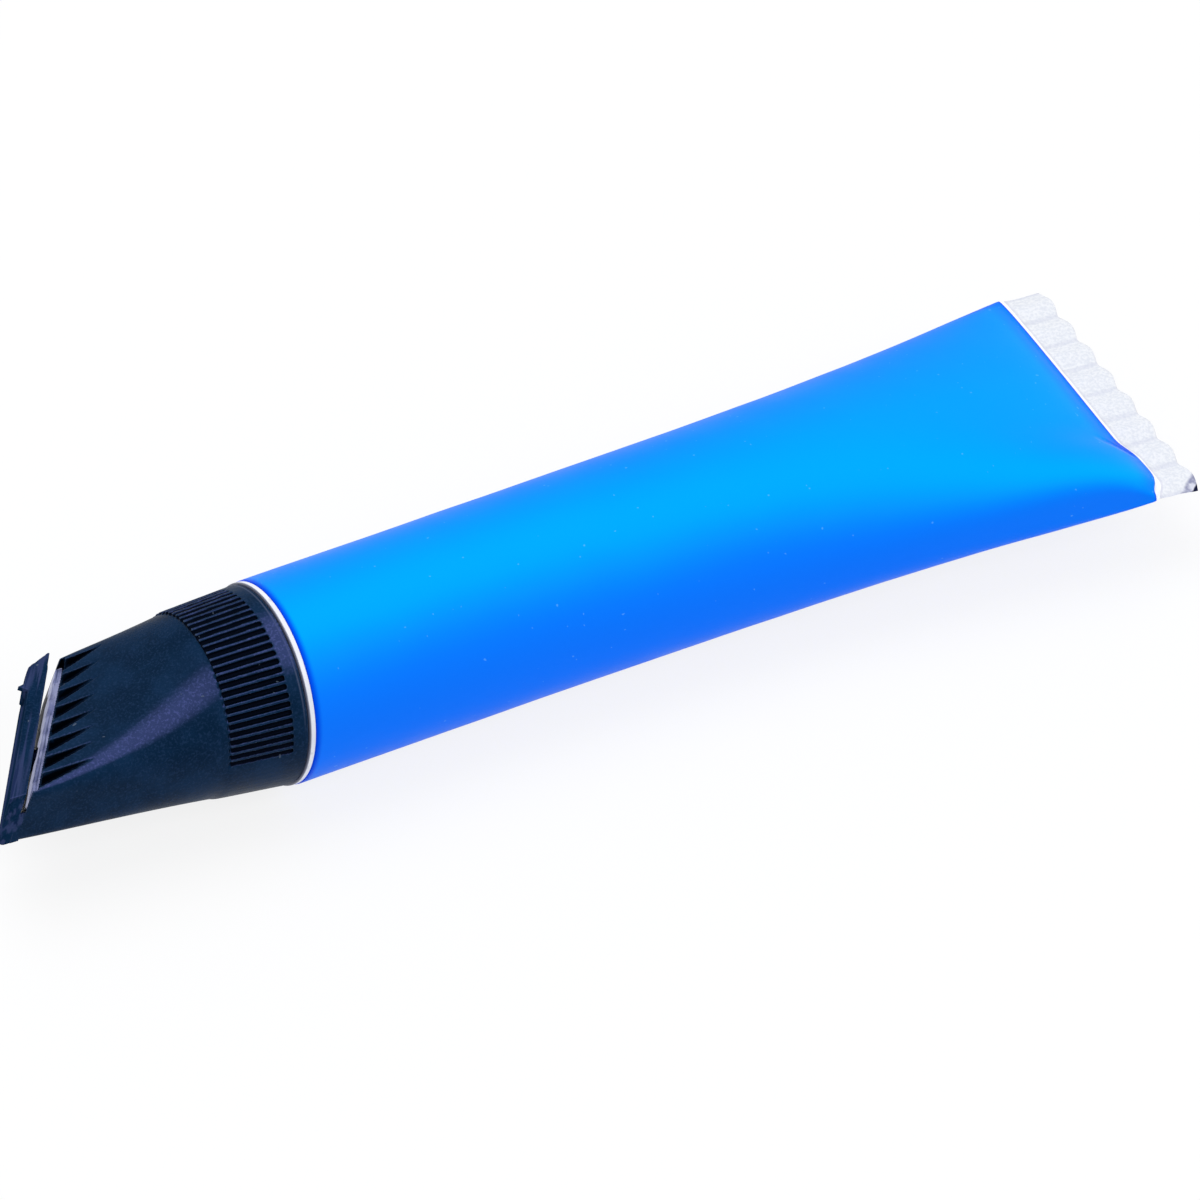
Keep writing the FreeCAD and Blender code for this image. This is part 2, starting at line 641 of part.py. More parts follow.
for item in doc.Objects:
    if "Invalid" in item.State or "Error" in item.State:
        raise RuntimeError(f"{item.Name} failed: {item.State}")
os.makedirs("parts", exist_ok=True)
for part in PARTS:
    shape = part.Shape
    if shape.isNull() or not shape.isValid() or len(shape.Solids) != 1:
        raise RuntimeError(f"{part.Label} is not one valid solid")
    shape.exportStep(f"parts/{part.Label}.step")
    span = shape.BoundBox
    print(part.Label, round(shape.Volume), "mm3", span)
laid = lift * tilt
print("hinge at", laid.multVec(hinge_foot), "along", laid.Rotation.multVec(hinge_axis).normalize())
print("cap slides along", laid.Rotation.multVec(Vector(-1, 0, 0)))
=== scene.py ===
# %% [markdown]
# # A glue tube with a comb spreader cap
#
# The tube lies on its side: a soft printed sleeve that goes from a round end to a flat welded
# seam, a white moulded head with a threaded neck, a black cap with a comb for spreading glue, and
# a closing strip that hangs on the cap by a thin film. The solids come from the CAD model. This
# lesson dresses them: each piece is modelled at its real size, in metres, and gets a material
# built from nodes.

# %% Load the frame
import json
import math

import bpy
from mathutils import Matrix, Vector


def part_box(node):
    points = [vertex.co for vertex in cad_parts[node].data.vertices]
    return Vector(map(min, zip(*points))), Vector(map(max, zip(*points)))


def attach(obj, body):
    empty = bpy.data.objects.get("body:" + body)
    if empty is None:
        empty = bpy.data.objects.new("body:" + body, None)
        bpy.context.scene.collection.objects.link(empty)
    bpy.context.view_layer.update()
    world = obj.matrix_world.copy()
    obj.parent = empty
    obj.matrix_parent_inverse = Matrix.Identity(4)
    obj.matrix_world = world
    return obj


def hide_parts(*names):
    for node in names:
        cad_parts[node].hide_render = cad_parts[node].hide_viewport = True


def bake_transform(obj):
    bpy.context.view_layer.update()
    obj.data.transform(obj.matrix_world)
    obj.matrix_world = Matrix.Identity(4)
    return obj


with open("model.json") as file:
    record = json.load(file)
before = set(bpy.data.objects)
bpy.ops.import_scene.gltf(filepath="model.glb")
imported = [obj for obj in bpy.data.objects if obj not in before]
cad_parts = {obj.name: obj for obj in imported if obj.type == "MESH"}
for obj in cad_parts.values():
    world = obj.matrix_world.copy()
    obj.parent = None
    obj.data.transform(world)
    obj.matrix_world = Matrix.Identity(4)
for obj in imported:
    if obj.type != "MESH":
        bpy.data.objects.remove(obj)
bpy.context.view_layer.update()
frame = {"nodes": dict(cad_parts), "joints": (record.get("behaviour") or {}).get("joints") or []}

# %% [markdown]
# ## The tube's own axis
#
# The tube leans a little, because its stiff round head is thicker than its flat tail. It is easier
# to model every piece along a level axis (x = 0 where the sleeve meets the head, +x towards the
# tail) and to lay it down at the end. The slope comes from the direction in which the cap comes
# off, and the place comes from the box of the moulded head, which is round about the axis.

# %% The axis of the head
MM = 0.001
joints = {joint["name"]: joint for joint in frame["joints"]}
off_axis = Vector(joints["cap_off"]["axis"])
slope = math.asin(off_axis.z)
head_low, head_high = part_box("shoulder_neck")
rim_radius = (head_high.y - head_low.y) / 2
axis_start = Vector((
    head_high.x - rim_radius * math.sin(slope),
    (head_low.y + head_high.y) / 2,
    rim_radius * math.cos(slope),
))
LAID = Matrix.Translation(axis_start) @ Matrix.Rotation(slope, 4, "Y")
UPRIGHT = LAID.inverted()
print("the axis starts at", [round(value / MM, 2) for value in axis_start], "mm")

# %% [markdown]
# ## Small tools used by all pieces
#
# In Blender, an operator acts on what is selected. These helpers keep that tidy: one clears the
# selection and makes an object active, one starts edit mode with all selected, one applies a
# place, one applies a modifier, and one ends the modelling of a piece by laying it down, smoothing
# its shading and hanging it on its CAD body.

# %% Helpers for selecting and finishing


def select_only(piece):
    bpy.ops.object.select_all(action="DESELECT")
    piece.select_set(True)
    bpy.context.view_layer.objects.active = piece


def edit_all():
    """Starts edit mode on the active object, with everything selected."""
    bpy.ops.object.mode_set(mode="EDIT")
    bpy.ops.mesh.select_all(action="SELECT")


def apply_place():
    """Moves the place, turn and size of the selected object into its mesh."""
    bpy.ops.object.transform_apply(location=True, rotation=True, scale=True)


def apply_modifier(piece, kind, **settings):
    """Adds a modifier with its settings and applies it at once."""
    select_only(piece)
    modifier = piece.modifiers.new(kind.title(), kind)
    for name, value in settings.items():
        setattr(modifier, name, value)
    bpy.ops.object.modifier_apply(modifier=modifier.name)


def finish_piece(piece, name, body, material, smooth_angle, lay=True):
    """Names the piece, lays it down with the tube, shades it and hangs it on its body."""
    piece.name = piece.data.name = name
    if lay:
        piece.data.transform(LAID)
    piece.data.materials.clear()
    piece.data.materials.append(material)
    select_only(piece)
    bpy.ops.object.shade_smooth_by_angle(angle=math.radians(smooth_angle))
    if body:
        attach(piece, body)
    piece.data.calc_loop_triangles()
    print(name, "has", len(piece.data.loop_triangles), "triangles")


# %% [markdown]
# Most of the tube is round or nearly round, so its pieces start as one circle that is extruded
# ring by ring along the axis. Each new ring is moved and resized, as one would do by hand with E
# and S.

# %% Rings along the axis


def start_ring(x, half_width, vertices):
    """Adds a circle square to the axis and leaves it in edit mode, selected."""
    bpy.ops.object.select_all(action="DESELECT")
    bpy.ops.mesh.primitive_circle_add(
        vertices=vertices, radius=half_width, location=(x, 0, 0),
        rotation=(math.pi / 2, 0, math.pi / 2),
    )
    piece = bpy.context.object
    apply_place()
    edit_all()
    return piece


def next_ring(move, grow_y, grow_z, centre):
    """Extrudes the selected ring, then moves and resizes it about its centre."""
    bpy.ops.mesh.extrude_region_move(TRANSFORM_OT_translate={"value": move})
    bpy.ops.transform.resize(value=(1, grow_y, grow_z), center_override=centre)


def inside_out(mesh):
    """True if the faces of a closed mesh point inwards: its volume then counts as negative."""
    mesh.calc_loop_triangles()
    volume = 0.0
    for triangle in mesh.loop_triangles:
        first, second, third = (mesh.vertices[index].co for index in triangle.vertices)
        volume += first.dot(second.cross(third))
    return volume < 0


def close_up():
    """Merges rings that meet or that end in a point, and turns all faces outwards."""
    bpy.ops.mesh.select_all(action="SELECT")
    bpy.ops.mesh.remove_doubles(threshold=0.002 * MM)
    bpy.ops.mesh.normals_make_consistent(inside=False)
    bpy.ops.object.mode_set(mode="OBJECT")
    if inside_out(bpy.context.object.data):
        bpy.ops.object.mode_set(mode="EDIT")
        bpy.ops.mesh.flip_normals()
        bpy.ops.object.mode_set(mode="OBJECT")


def turned_piece(outline, vertices):
    """A piece turned about the axis from its closed outline, a list of (x, radius)."""
    x, radius = outline[0]
    piece = start_ring(x, radius, vertices)
    for next_x, next_radius in outline[1:] + outline[:1]:
        grow = next_radius / radius
        next_ring((next_x - x, 0, 0), grow, grow, (next_x, 0, 0))
        x, radius = next_x, next_radius
    close_up()
    return piece


# %% [markdown]
# ## Shared surface effects
#
# Two effects appear on several materials, so each is built once as a node group. **Fine grain** is
# the dull, slightly uneven skin that moulded or printed plastic has: it gives a small bump and a
# roughness that changes over the surface. **Soft mottle** mixes two close colours in cloudy
# patches, because no real surface has one flat colour.

# %% Node group helpers


def new_group(name, inputs, outputs):
    """A shader node group with named sockets, each given as (name, type, value)."""
    group = bpy.data.node_groups.new(name, "ShaderNodeTree")
    for socket_name, kind, value in inputs:
        socket = group.interface.new_socket(socket_name, in_out="INPUT", socket_type=kind)
        if value is not None:
            socket.default_value = value
    for socket_name, kind in outputs:
        group.interface.new_socket(socket_name, in_out="OUTPUT", socket_type=kind)
    return group, group.nodes.new("NodeGroupInput"), group.nodes.new("NodeGroupOutput")


def node(tree, kind, inputs=None, **settings):
    """Adds a node. An input is a plain value or the output socket it is linked to."""
    made = tree.nodes.new(kind)
    for name, value in settings.items():
        setattr(made, name, value)
    for name, value in (inputs or {}).items():
        if isinstance(value, bpy.types.NodeSocket):
            tree.links.new(value, made.inputs[name])
        else:
            made.inputs[name].default_value = value
    return made


def find_node(tree, kind):
    """The first node of a kind that a new tree already holds."""
    return next(held for held in tree.nodes if held.type == kind)


def mix_colour(tree, factor, first, second):
    """The first colour where factor is 0, the second where it is 1."""
    sockets = {0: factor, 6: first, 7: second}
    return node(tree, "ShaderNodeMix", sockets, data_type="RGBA", blend_type="MIX").outputs[2]


def step_mask(tree, value, low, high):
    """0 below low, 1 above high (or the other way round), with a soft step between."""
    sockets = {0: value, 1: low, 2: high}
    return node(tree, "ShaderNodeMapRange", sockets, interpolation_type="SMOOTHSTEP").outputs[0]


def maths(tree, operation, first, second=0.0):
    return node(tree, "ShaderNodeMath", {0: first, 1: second}, operation=operation).outputs[0]


def noise(tree, coordinates, per_metre, detail, roughness=0.5):
    return node(tree, "ShaderNodeTexNoise", {
        "Vector": coordinates, "Scale": per_metre, "Detail": detail, "Roughness": roughness,
    }).outputs["Fac"]


def scaled(tree, value, share):
    """A value times a share, or one mask times another."""
    return maths(tree, "MULTIPLY", value, share)


def attribute(tree, name):
    """A number that each point of the piece carries."""
    return node(tree, "ShaderNodeAttribute", attribute_name=name).outputs["Fac"]


# %% Fine grain and soft mottle


def build_fine_grain():
    group, inside, outside = new_group(
        "fine grain",
        [
            ("Coordinates", "NodeSocketVector", None),
            ("Grain per metre", "NodeSocketFloat", 5000.0),
            ("Roughness", "NodeSocketFloat", 0.45),
            ("Roughness change", "NodeSocketFloat", 0.1),
            ("Bump strength", "NodeSocketFloat", 0.2),
            ("Bump depth", "NodeSocketFloat", 0.00003),
        ],
        [
            ("Roughness", "NodeSocketFloat"),
            ("Normal", "NodeSocketVector"),
            ("Mask", "NodeSocketFloat"),
        ],
    )
    coordinates = inside.outputs["Coordinates"]
    grain = noise(group, coordinates, inside.outputs["Grain per metre"], 4, 0.6)
    wide = noise(group, coordinates, 160, 3, 0.55)
    both = maths(group, "ADD", grain, wide)
    spread = node(group, "ShaderNodeMapRange", {0: both, 1: 0.7, 2: 1.3, 3: -1.0, 4: 1.0})
    change = maths(group, "MULTIPLY", spread.outputs[0], inside.outputs["Roughness change"])
    roughness = maths(group, "ADD", inside.outputs["Roughness"], change)
    bump = node(group, "ShaderNodeBump", {
        "Strength": inside.outputs["Bump strength"], "Distance": inside.outputs["Bump depth"],
        "Height": grain,
    })
    group.links.new(roughness, outside.inputs["Roughness"])
    group.links.new(bump.outputs["Normal"], outside.inputs["Normal"])
    group.links.new(grain, outside.inputs["Mask"])
    return group


def build_soft_mottle():
    group, inside, outside = new_group(
        "soft mottle",
        [
            ("Coordinates", "NodeSocketVector", None),
            ("Colour", "NodeSocketColor", None),
            ("Other colour", "NodeSocketColor", None),
            ("Patches per metre", "NodeSocketFloat", 60.0),
            ("Amount", "NodeSocketFloat", 1.0),
        ],
        [("Colour", "NodeSocketColor")],
    )
    coordinates, per_metre = inside.outputs["Coordinates"], inside.outputs["Patches per metre"]
    patches = noise(group, coordinates, per_metre, 4, 0.55)
    mask = step_mask(group, patches, 0.35, 0.65)
    amount = maths(group, "MULTIPLY", mask, inside.outputs["Amount"])
    colour = mix_colour(group, amount, inside.outputs["Colour"], inside.outputs["Other colour"])
    group.links.new(colour, outside.inputs["Colour"])
    return group


fine_grain = build_fine_grain()
soft_mottle = build_soft_mottle()


def new_material(name):
    """A material with a tree, its Principled BSDF and coordinates along the tube's axis."""
    material = bpy.data.materials.new(name)
    material.use_nodes = True
    tree = material.node_tree
    place = node(tree, "ShaderNodeTexCoord")
    along = node(tree, "ShaderNodeMapping", {
        "Vector": place.outputs["Object"], "Location": axis_start, "Rotation": (0, slope, 0),
    }, vector_type="TEXTURE")
    return material, tree, find_node(tree, "BSDF_PRINCIPLED"), along.outputs["Vector"]


def add_grain(tree, shader, coordinates, **values):
    """Places the grain group and feeds the shader's roughness and normal from it."""
    grain = node(tree, "ShaderNodeGroup", node_tree=fine_grain)
    tree.links.new(coordinates, grain.inputs["Coordinates"])
    for name, value in values.items():
        grain.inputs[name.replace("_", " ").capitalize()].default_value = value
    tree.links.new(grain.outputs["Roughness"], shader.inputs["Roughness"])
    tree.links.new(grain.outputs["Normal"], shader.inputs["Normal"])
    return grain


def add_mottle(tree, coordinates, colour, other, per_metre):
    """Places the mottle group and gives its mixed colour."""
    return node(tree, "ShaderNodeGroup", {
        "Coordinates": coordinates, "Colour": colour, "Other colour": other,
        "Patches per metre": per_metre,
    }, node_tree=soft_mottle).outputs["Colour"]


# %% [markdown]
# ## The sleeve's printed laminate
#
# The sleeve is a plastic laminate printed in one blue. Light and shade are painted into that blue:
# azure where the wall faces up and deep blue where it turns to the sides. The colour comes from a
# ramp over an attribute: the direction that each point faces, from 0 at the near side over 90 at
# the top to 180 at the far side. Behind the print, the welded seam stays white, with painted grey
# shade in its corrugations.

# %% Printed laminate
# the angle that a point faces, in degrees, and its blue, with light and shade painted in
PAINTED_SHADING_RAMP = (
    (15, (0.0035, 0.182, 1.0)), (33, (0.003, 0.195, 1.0)), (45, (0.002, 0.24, 1.0)),
    (56, (0.001, 0.305, 1.0)), (66, (0.0005, 0.365, 1.0)), (80, (0.0, 0.37, 1.0)),
    (94, (0.0, 0.32, 1.0)), (112, (0.0, 0.265, 1.0)), (135, (0.001, 0.20, 1.0)),
    (165, (0.003, 0.15, 1.0)),
)
CLOUD_ANGLE = 16.0  # how far the cloudy unevenness shifts that angle, in degrees
# the blue beside the seam, at the seam, in the painted shade of the fold, in the painted gleam on
# the fold and in the painted shade beside the rim
TAIL_BLUE = (0.0, 0.19, 0.98, 1)
WELD_BLUE = (0.0, 0.10, 0.90, 1)
SHADE_BLUE = (0.0, 0.07, 0.80, 1)
FOLD_GLEAM = (0.30, 0.36, 0.92, 1)
RIM_SHADE_BLUE = (0.0, 0.07, 0.78, 1)
SPECK_BLUE = (0.2, 0.6, 1.0, 1)
# the seam: its two whites, the painted shade in its valleys, the white and the grey line beside the
# print
SEAM_WHITES = ((0.82, 0.83, 0.855, 1), (0.71, 0.73, 0.78, 1))
VALLEY_SHADE_GREY = (0.52, 0.54, 0.66, 1)
WHITE_LINE = (0.98, 0.98, 1.0, 1)
GREY_LINE = (0.58, 0.58, 0.70, 1)
# the curled corner: its two greys, a painted silvery reflection, and its dark edge
CURL_REFLECTION_GREYS = ((0.66, 0.67, 0.76, 1), (0.28, 0.29, 0.42, 1))
CUT_DARK = (0.01, 0.012, 0.04, 1)


def build_printed_laminate():
    material, tree, shader, along = new_material("printed_laminate")
    # the blue paints light and shade by the way each point faces
    cloud = noise(tree, along, 30, 3)
    shifted = scaled(tree, maths(tree, "SUBTRACT", cloud, 0.5), CLOUD_ANGLE)
    facing = maths(tree, "ADD", attribute(tree, "facing"), shifted)
    ramp = node(tree, "ShaderNodeValToRGB", {0: maths(tree, "DIVIDE", facing, 180.0)})
    ramp.color_ramp.interpolation = "B_SPLINE"
    while len(ramp.color_ramp.elements) < len(PAINTED_SHADING_RAMP):
        ramp.color_ramp.elements.new(0.5)
    for element, (angle, colour) in zip(ramp.color_ramp.elements, PAINTED_SHADING_RAMP):
        element.position = angle / 180
        element.color = (*colour, 1)
    blue = ramp.outputs["Color"]

    place = node(tree, "ShaderNodeSeparateXYZ", {0: along})
    behind = maths(tree, "SUBTRACT", place.outputs["X"], attribute(tree, "print_end"))
    towards_seam = step_mask(tree, behind, -4.0 * MM, -0.2 * MM)
    blue = mix_colour(tree, scaled(tree, towards_seam, 0.75), blue, TAIL_BLUE)
    near_seam = step_mask(tree, behind, -0.5 * MM, -0.1 * MM)
    blue = mix_colour(tree, near_seam, blue, WELD_BLUE)
    blue = mix_colour(tree, attribute(tree, "past_fold"), blue, SHADE_BLUE)
    blue = mix_colour(tree, attribute(tree, "fold"), blue, FOLD_GLEAM)
    # painted shade beside the head's rim
    near_rim = step_mask(tree, place.outputs["X"], 1.1 * MM, 0.1 * MM)
    blue = mix_colour(tree, near_rim, blue, RIM_SHADE_BLUE)
    speck = step_mask(tree, noise(tree, along, 1700, 0), 0.845, 0.87)
    blue = mix_colour(tree, scaled(tree, speck, 0.3), blue, SPECK_BLUE)

    white = add_mottle(tree, along, *SEAM_WHITES, 2400)
    # painted shade in the valleys of the corrugations
    low = step_mask(tree, attribute(tree, "pressed"), 0.72, 0.99)
    white = mix_colour(tree, scaled(tree, low, 0.34), white, VALLEY_SHADE_GREY)
    white = mix_colour(tree, step_mask(tree, behind, 0.75 * MM, 0.5 * MM), white, WHITE_LINE)
    second_line = scaled(tree, step_mask(tree, behind, 0.55 * MM, 0.8 * MM),
                         step_mask(tree, behind, 1.15 * MM, 0.85 * MM))
    white = mix_colour(tree, scaled(tree, second_line, 0.4), white, GREY_LINE)
    curled = attribute(tree, "curled")
    # a painted silvery reflection on the curled corner
    grey = mix_colour(tree, step_mask(tree, noise(tree, along, 700, 3), 0.4, 0.6), *CURL_REFLECTION_GREYS)
    white = mix_colour(tree, step_mask(tree, curled, 0.3, 0.6), white, grey)
    white = mix_colour(tree, step_mask(tree, curled, 0.955, 0.99), white, CUT_DARK)
    colour = mix_colour(tree, step_mask(tree, behind, -0.06 * MM, 0.06 * MM), blue, white)
    tree.links.new(colour, shader.inputs["Base Color"])
    add_grain(tree, shader, along, grain_per_metre=2600, roughness=0.38, roughness_change=0.05,
              bump_strength=0.12, bump_depth=0.00002)
    shader.inputs["IOR"].default_value = 1.2
    shader.inputs["Specular IOR Level"].default_value = 0.15
    shader.inputs["Specular Tint"].default_value = (0.1, 0.5, 1, 1)
    return material


printed_laminate = build_printed_laminate()

# %% [markdown]
# ## The sleeve
#
# A collapsible tube is a straight pipe whose end is pressed flat and welded. The outline keeps its
# length all the way, so where the sleeve gets flatter it also gets wider: the height of each oval
# follows from its width. The pipe starts as a circle that is extruded ring by ring.

# %% Sizes of the sleeve
TUBE_RADIUS = 14.0 * MM
SEAM_START = 127.6 * MM
SEAM_LENGTH = 6.9 * MM
FLARE = 2.9  # the higher, the later the pipe gets wider
TAIL_SIDE = 5.4 * MM  # how far the tail bends aside and up
TAIL_UP = 3.7 * MM
TAIL_HALF = 0.95 * MM  # half height of the pocket at the seam
SLEEVE_RING = 192
SLEEVE_STEPS = 76
CROWDING = 0.55  # how much closer together the rings stand towards the seam
SEAM_NARROWING = 0.988  # width of the seam against that of the pocket
POINT = 0.0005 * MM  # radius of the ring that closes the round end
half_seam_width = math.pi * TUBE_RADIUS / 2
# the closed round end: each step along the axis and the radius there, in mm
ROUND_END_RINGS = (
    (0.0, 7.0), (0.0, 13.4), (0.02, 13.82), (0.06, 13.93), (0.12, 13.98), (0.2, 14.0),
)
# the seam: each step along the axis and half of the thickness there, in mm; the last ring is flat
SEAM_RINGS = (
    (0.41, 0.62), (0.4, 0.44), (0.49, 0.4), (0.8, 0.4), (0.8, 0.4), (0.8, 0.4), (0.8, 0.4),
    (0.8, 0.4), (0.6, 0.4), (0.5, 0.38), (0.3, 0.32), (0.15, 0.2), (0.05, 0.0),
)


def oval_height(half_width):
    """Half height of an oval as long round as the pipe."""
    low, high = 0.0, TUBE_RADIUS
    for _ in range(40):
        middle = (low + high) / 2
        spread = ((half_width - middle) / (half_width + middle)) ** 2
        stretch = 1 + 3 * spread / (10 + math.sqrt(4 - 3 * spread))
        around = math.pi * (half_width + middle) * stretch
        if around < 2 * math.pi * TUBE_RADIUS:
            low = middle
        else:
            high = middle
    return low


def oval(share):
    """Half width and half height of the outline, from 0 at the round end to 1 at the seam."""
    half_width = TUBE_RADIUS + (half_seam_width - TUBE_RADIUS) * share ** FLARE
    return half_width, max(oval_height(half_width), TAIL_HALF)


# %% Extrude the sleeve and its seam


def extrude_sleeve():
    """The round end closes in a point behind the head, the other end is pressed to a thin seam."""
    x, half_width, half_height = 0.0, POINT, POINT
    piece = start_ring(x, half_width, SLEEVE_RING)
    for length, radius in ROUND_END_RINGS:
        grow = radius * MM / half_width
        x += length * MM
        next_ring((length * MM, 0, 0), grow, grow, (x, 0, 0))
        half_width = half_height = radius * MM
    shift = Vector((0, 0, 0))
    for step in range(1, SLEEVE_STEPS + 1):
        even = step / SLEEVE_STEPS
        share = even + CROWDING * even * (1 - even)
        next_x = share * SEAM_START
        next_width, next_height = oval(share)
        centre = Vector((next_x, TAIL_SIDE * share, TAIL_UP * share))
        move = (next_x - x, centre.y - shift.y, centre.z - shift.z)
        next_ring(move, next_width / half_width, next_height / half_height, centre)
        x, half_width, half_height, shift = next_x, next_width, next_height, centre
    for index, (length, target) in enumerate(SEAM_RINGS):
        x += length * MM
        centre = (x, TAIL_SIDE, TAIL_UP)
        narrow = SEAM_NARROWING if index == 0 else 1
        next_ring((length * MM, 0, 0), narrow, target * MM / half_height, centre)
        half_height = target * MM
    close_up()
    return piece


sleeve = extrude_sleeve()
print("the extruded sleeve has", len(sleeve.data.vertices), "points")

# %% [markdown]
# ### Shaping the tail
#
# Near the seam the oval becomes almost a flat pocket with square ends. The welding jaws leave
# eight corrugations across the seam, and the knife leaves a slightly wavy edge. Beside one corner
# the filled pocket bulges over the seam, with a short fold, and the corner of the thin seam itself
# has curled up in use. These are small moves of many points, so they are made in code, as
# functions of the point's place.

# %% Square the pocket, press the corrugations and curl the corner
RIDGES = 8
WAVE = 0.25 * MM
SCALLOP = 0.6 * MM
NEAR_BULGE = 1.15 * MM
CORNER_ROUND = 0.5 * MM
PUFF = 0.3
# how much squarer than an oval the pocket gets: its far half, its near upper and near lower quarter
FAR_SQUARER, UPPER_SQUARER, LOWER_SQUARER = 0.6, 6, 1
CURL_UP = 0.25 * MM
CURL_BACK = 0.25 * MM
CURL_OUT = 0.6 * MM
half_seam = half_seam_width * SEAM_NARROWING


def smooth_step(value, low, high):
    share = min(max((value - low) / (high - low), 0), 1)
    return share * share * (3 - 2 * share)


def square_pocket(point):
    """Moves a point of an oval out to a squarer outline, more so towards the seam."""
    share = min(max(point.x / SEAM_START, 0), 1)
    half_width, half_height = oval(share)
    across = (point.y - TAIL_SIDE * share) / half_width
    height = (point.z - TAIL_UP * share) / half_height
    reach = math.hypot(across, height)
    if share < 0.3 or reach < 0.9:
        return
    squarer = FAR_SQUARER if across > 0 else UPPER_SQUARER if height > 0 else LOWER_SQUARER
    power = 2 + squarer * share ** 8
    side, up = abs(across / reach), abs(height / reach)
    stretch = (side ** power + up ** power) ** (-1 / power)
    point.y = TAIL_SIDE * share + half_width * across / reach * stretch
    point.z = TAIL_UP * share + half_height * height / reach * stretch


def across_seam(point):
    """0 at the near end of the seam, 1 at its far end."""
    return min(max((point.y - TAIL_SIDE + half_seam) / (2 * half_seam), 0), 1)


def near_bulge(point):
    """How far the pocket reaches over the seam near one corner; the corner itself is rounded."""
    across = across_seam(point)
    over = smooth_step(across, 0.27, 0.16) * smooth_step(across, -0.02, 0.07)
    return NEAR_BULGE * over - CORNER_ROUND * smooth_step(across, 0.05, 0.0)


def puff(point):
    """How much higher the filled pocket's upper side is near that corner, as a factor."""
    return 1 + PUFF * smooth_step(across_seam(point), 0.34, 0.04) * smooth_step(
        point.x, SEAM_START - 26 * MM, SEAM_START - 3 * MM)


def press_seam(point):
    """Corrugations across the seam and a wavy cut edge."""
    across = across_seam(point)
    pressed = smooth_step(point.x, SEAM_START + 0.3 * MM, SEAM_START + 2.4 * MM)
    point.z -= pressed * WAVE * math.cos(2 * math.pi * RIDGES * across)
    within = (across * RIDGES) % 1
    cut = smooth_step(point.x, SEAM_START + 3.2 * MM, SEAM_START + SEAM_LENGTH)
    point.x -= cut * SCALLOP * (2 * within - 1) ** 2


def corner_share(point):
    """1 at the near outer corner of the seam, 0 some millimetres away from it."""
    from_corner = (point.y - TAIL_SIDE + half_seam) + 0.8 * (SEAM_START + SEAM_LENGTH - point.x)
    return smooth_step(from_corner, 4.2 * MM, 0.6 * MM)


def curl_corner(point):
    """Bends the near corner of the seam and draws it out to a point."""
    bend = corner_share(point)
    point.z += CURL_UP * bend * bend
    point.x -= CURL_BACK * bend ** 3
    point.y -= CURL_OUT * bend ** 3


# the fold's two ends, its depth and how wide it is
FOLD_START = Vector((SEAM_START - 4.2 * MM, TAIL_SIDE - 9.9 * MM))
FOLD_END = Vector((SEAM_START + 0.3 * MM, TAIL_SIDE - 14.6 * MM))
FOLD_DEPTH = 0.42 * MM
FOLD_WIDTH = 0.5 * MM


def beside_fold(point):
    """Where a point lies along the short fold at the bulge (0 to 1), and how far aside of it."""
    way = FOLD_END - FOLD_START
    spot = Vector((point.x, point.y)) - FOLD_START
    return spot.dot(way) / way.length_squared, spot.cross(way) / way.length


def crease(point):
    """Depth of the fold."""
    share, aside = beside_fold(point)
    depth = smooth_step(share, 0.0, 0.35) * smooth_step(share, 1.1, 0.85)
    return depth * (FOLD_DEPTH * math.exp(-(aside / FOLD_WIDTH) ** 2))


def fold_light(point):
    """Strength of the pale gleam on the fold."""
    share, aside = beside_fold(point)
    along = smooth_step(share, 0.05, 0.6) * smooth_step(share, 1.08, 0.8)
    return 0.75 * along * smooth_step(abs(aside), 0.5 * MM, 0.1 * MM)


def fold_shade(point):
    """Strength of the shade between the fold and the seam."""
    share, aside = beside_fold(point)
    along = smooth_step(share, 0.2, 0.6) * smooth_step(share, 1.3, 1.0)
    start, end = smooth_step(-aside, 0.25 * MM, 0.7 * MM), smooth_step(-aside, 3.0 * MM, 1.6 * MM)
    return 0.8 * along * start * end


for vertex in sleeve.data.vertices:
    point = vertex.co
    if point.x < SEAM_START + 0.01 * MM:
        square_pocket(point)
        middle = TAIL_UP * min(max(point.x / SEAM_START, 0), 1)
        if point.z > middle:
            point.z = middle + (point.z - middle) * puff(point)
    else:
        press_seam(point)
        curl_corner(point)
    reach = smooth_step(point.x, SEAM_START - 14 * MM, SEAM_START)
    reach *= smooth_step(point.x, SEAM_START + SEAM_LENGTH, SEAM_START + 2 * MM)
    point.x += near_bulge(point) * reach

# %% [markdown]
# The finish needs to know some of this later, so each point keeps where the print ends on its
# line, how it lies in the corrugations, which way it faces, and how near it is to the curled
# corner.

# %% Store what the finish needs


def store(piece, name, value_of):
    """Gives every point of a piece a number, worked out from its vertex."""
    layer = piece.data.attributes.new(name, "FLOAT", "POINT")
    for vertex in piece.data.vertices:
        layer.data[vertex.index].value = value_of(vertex)


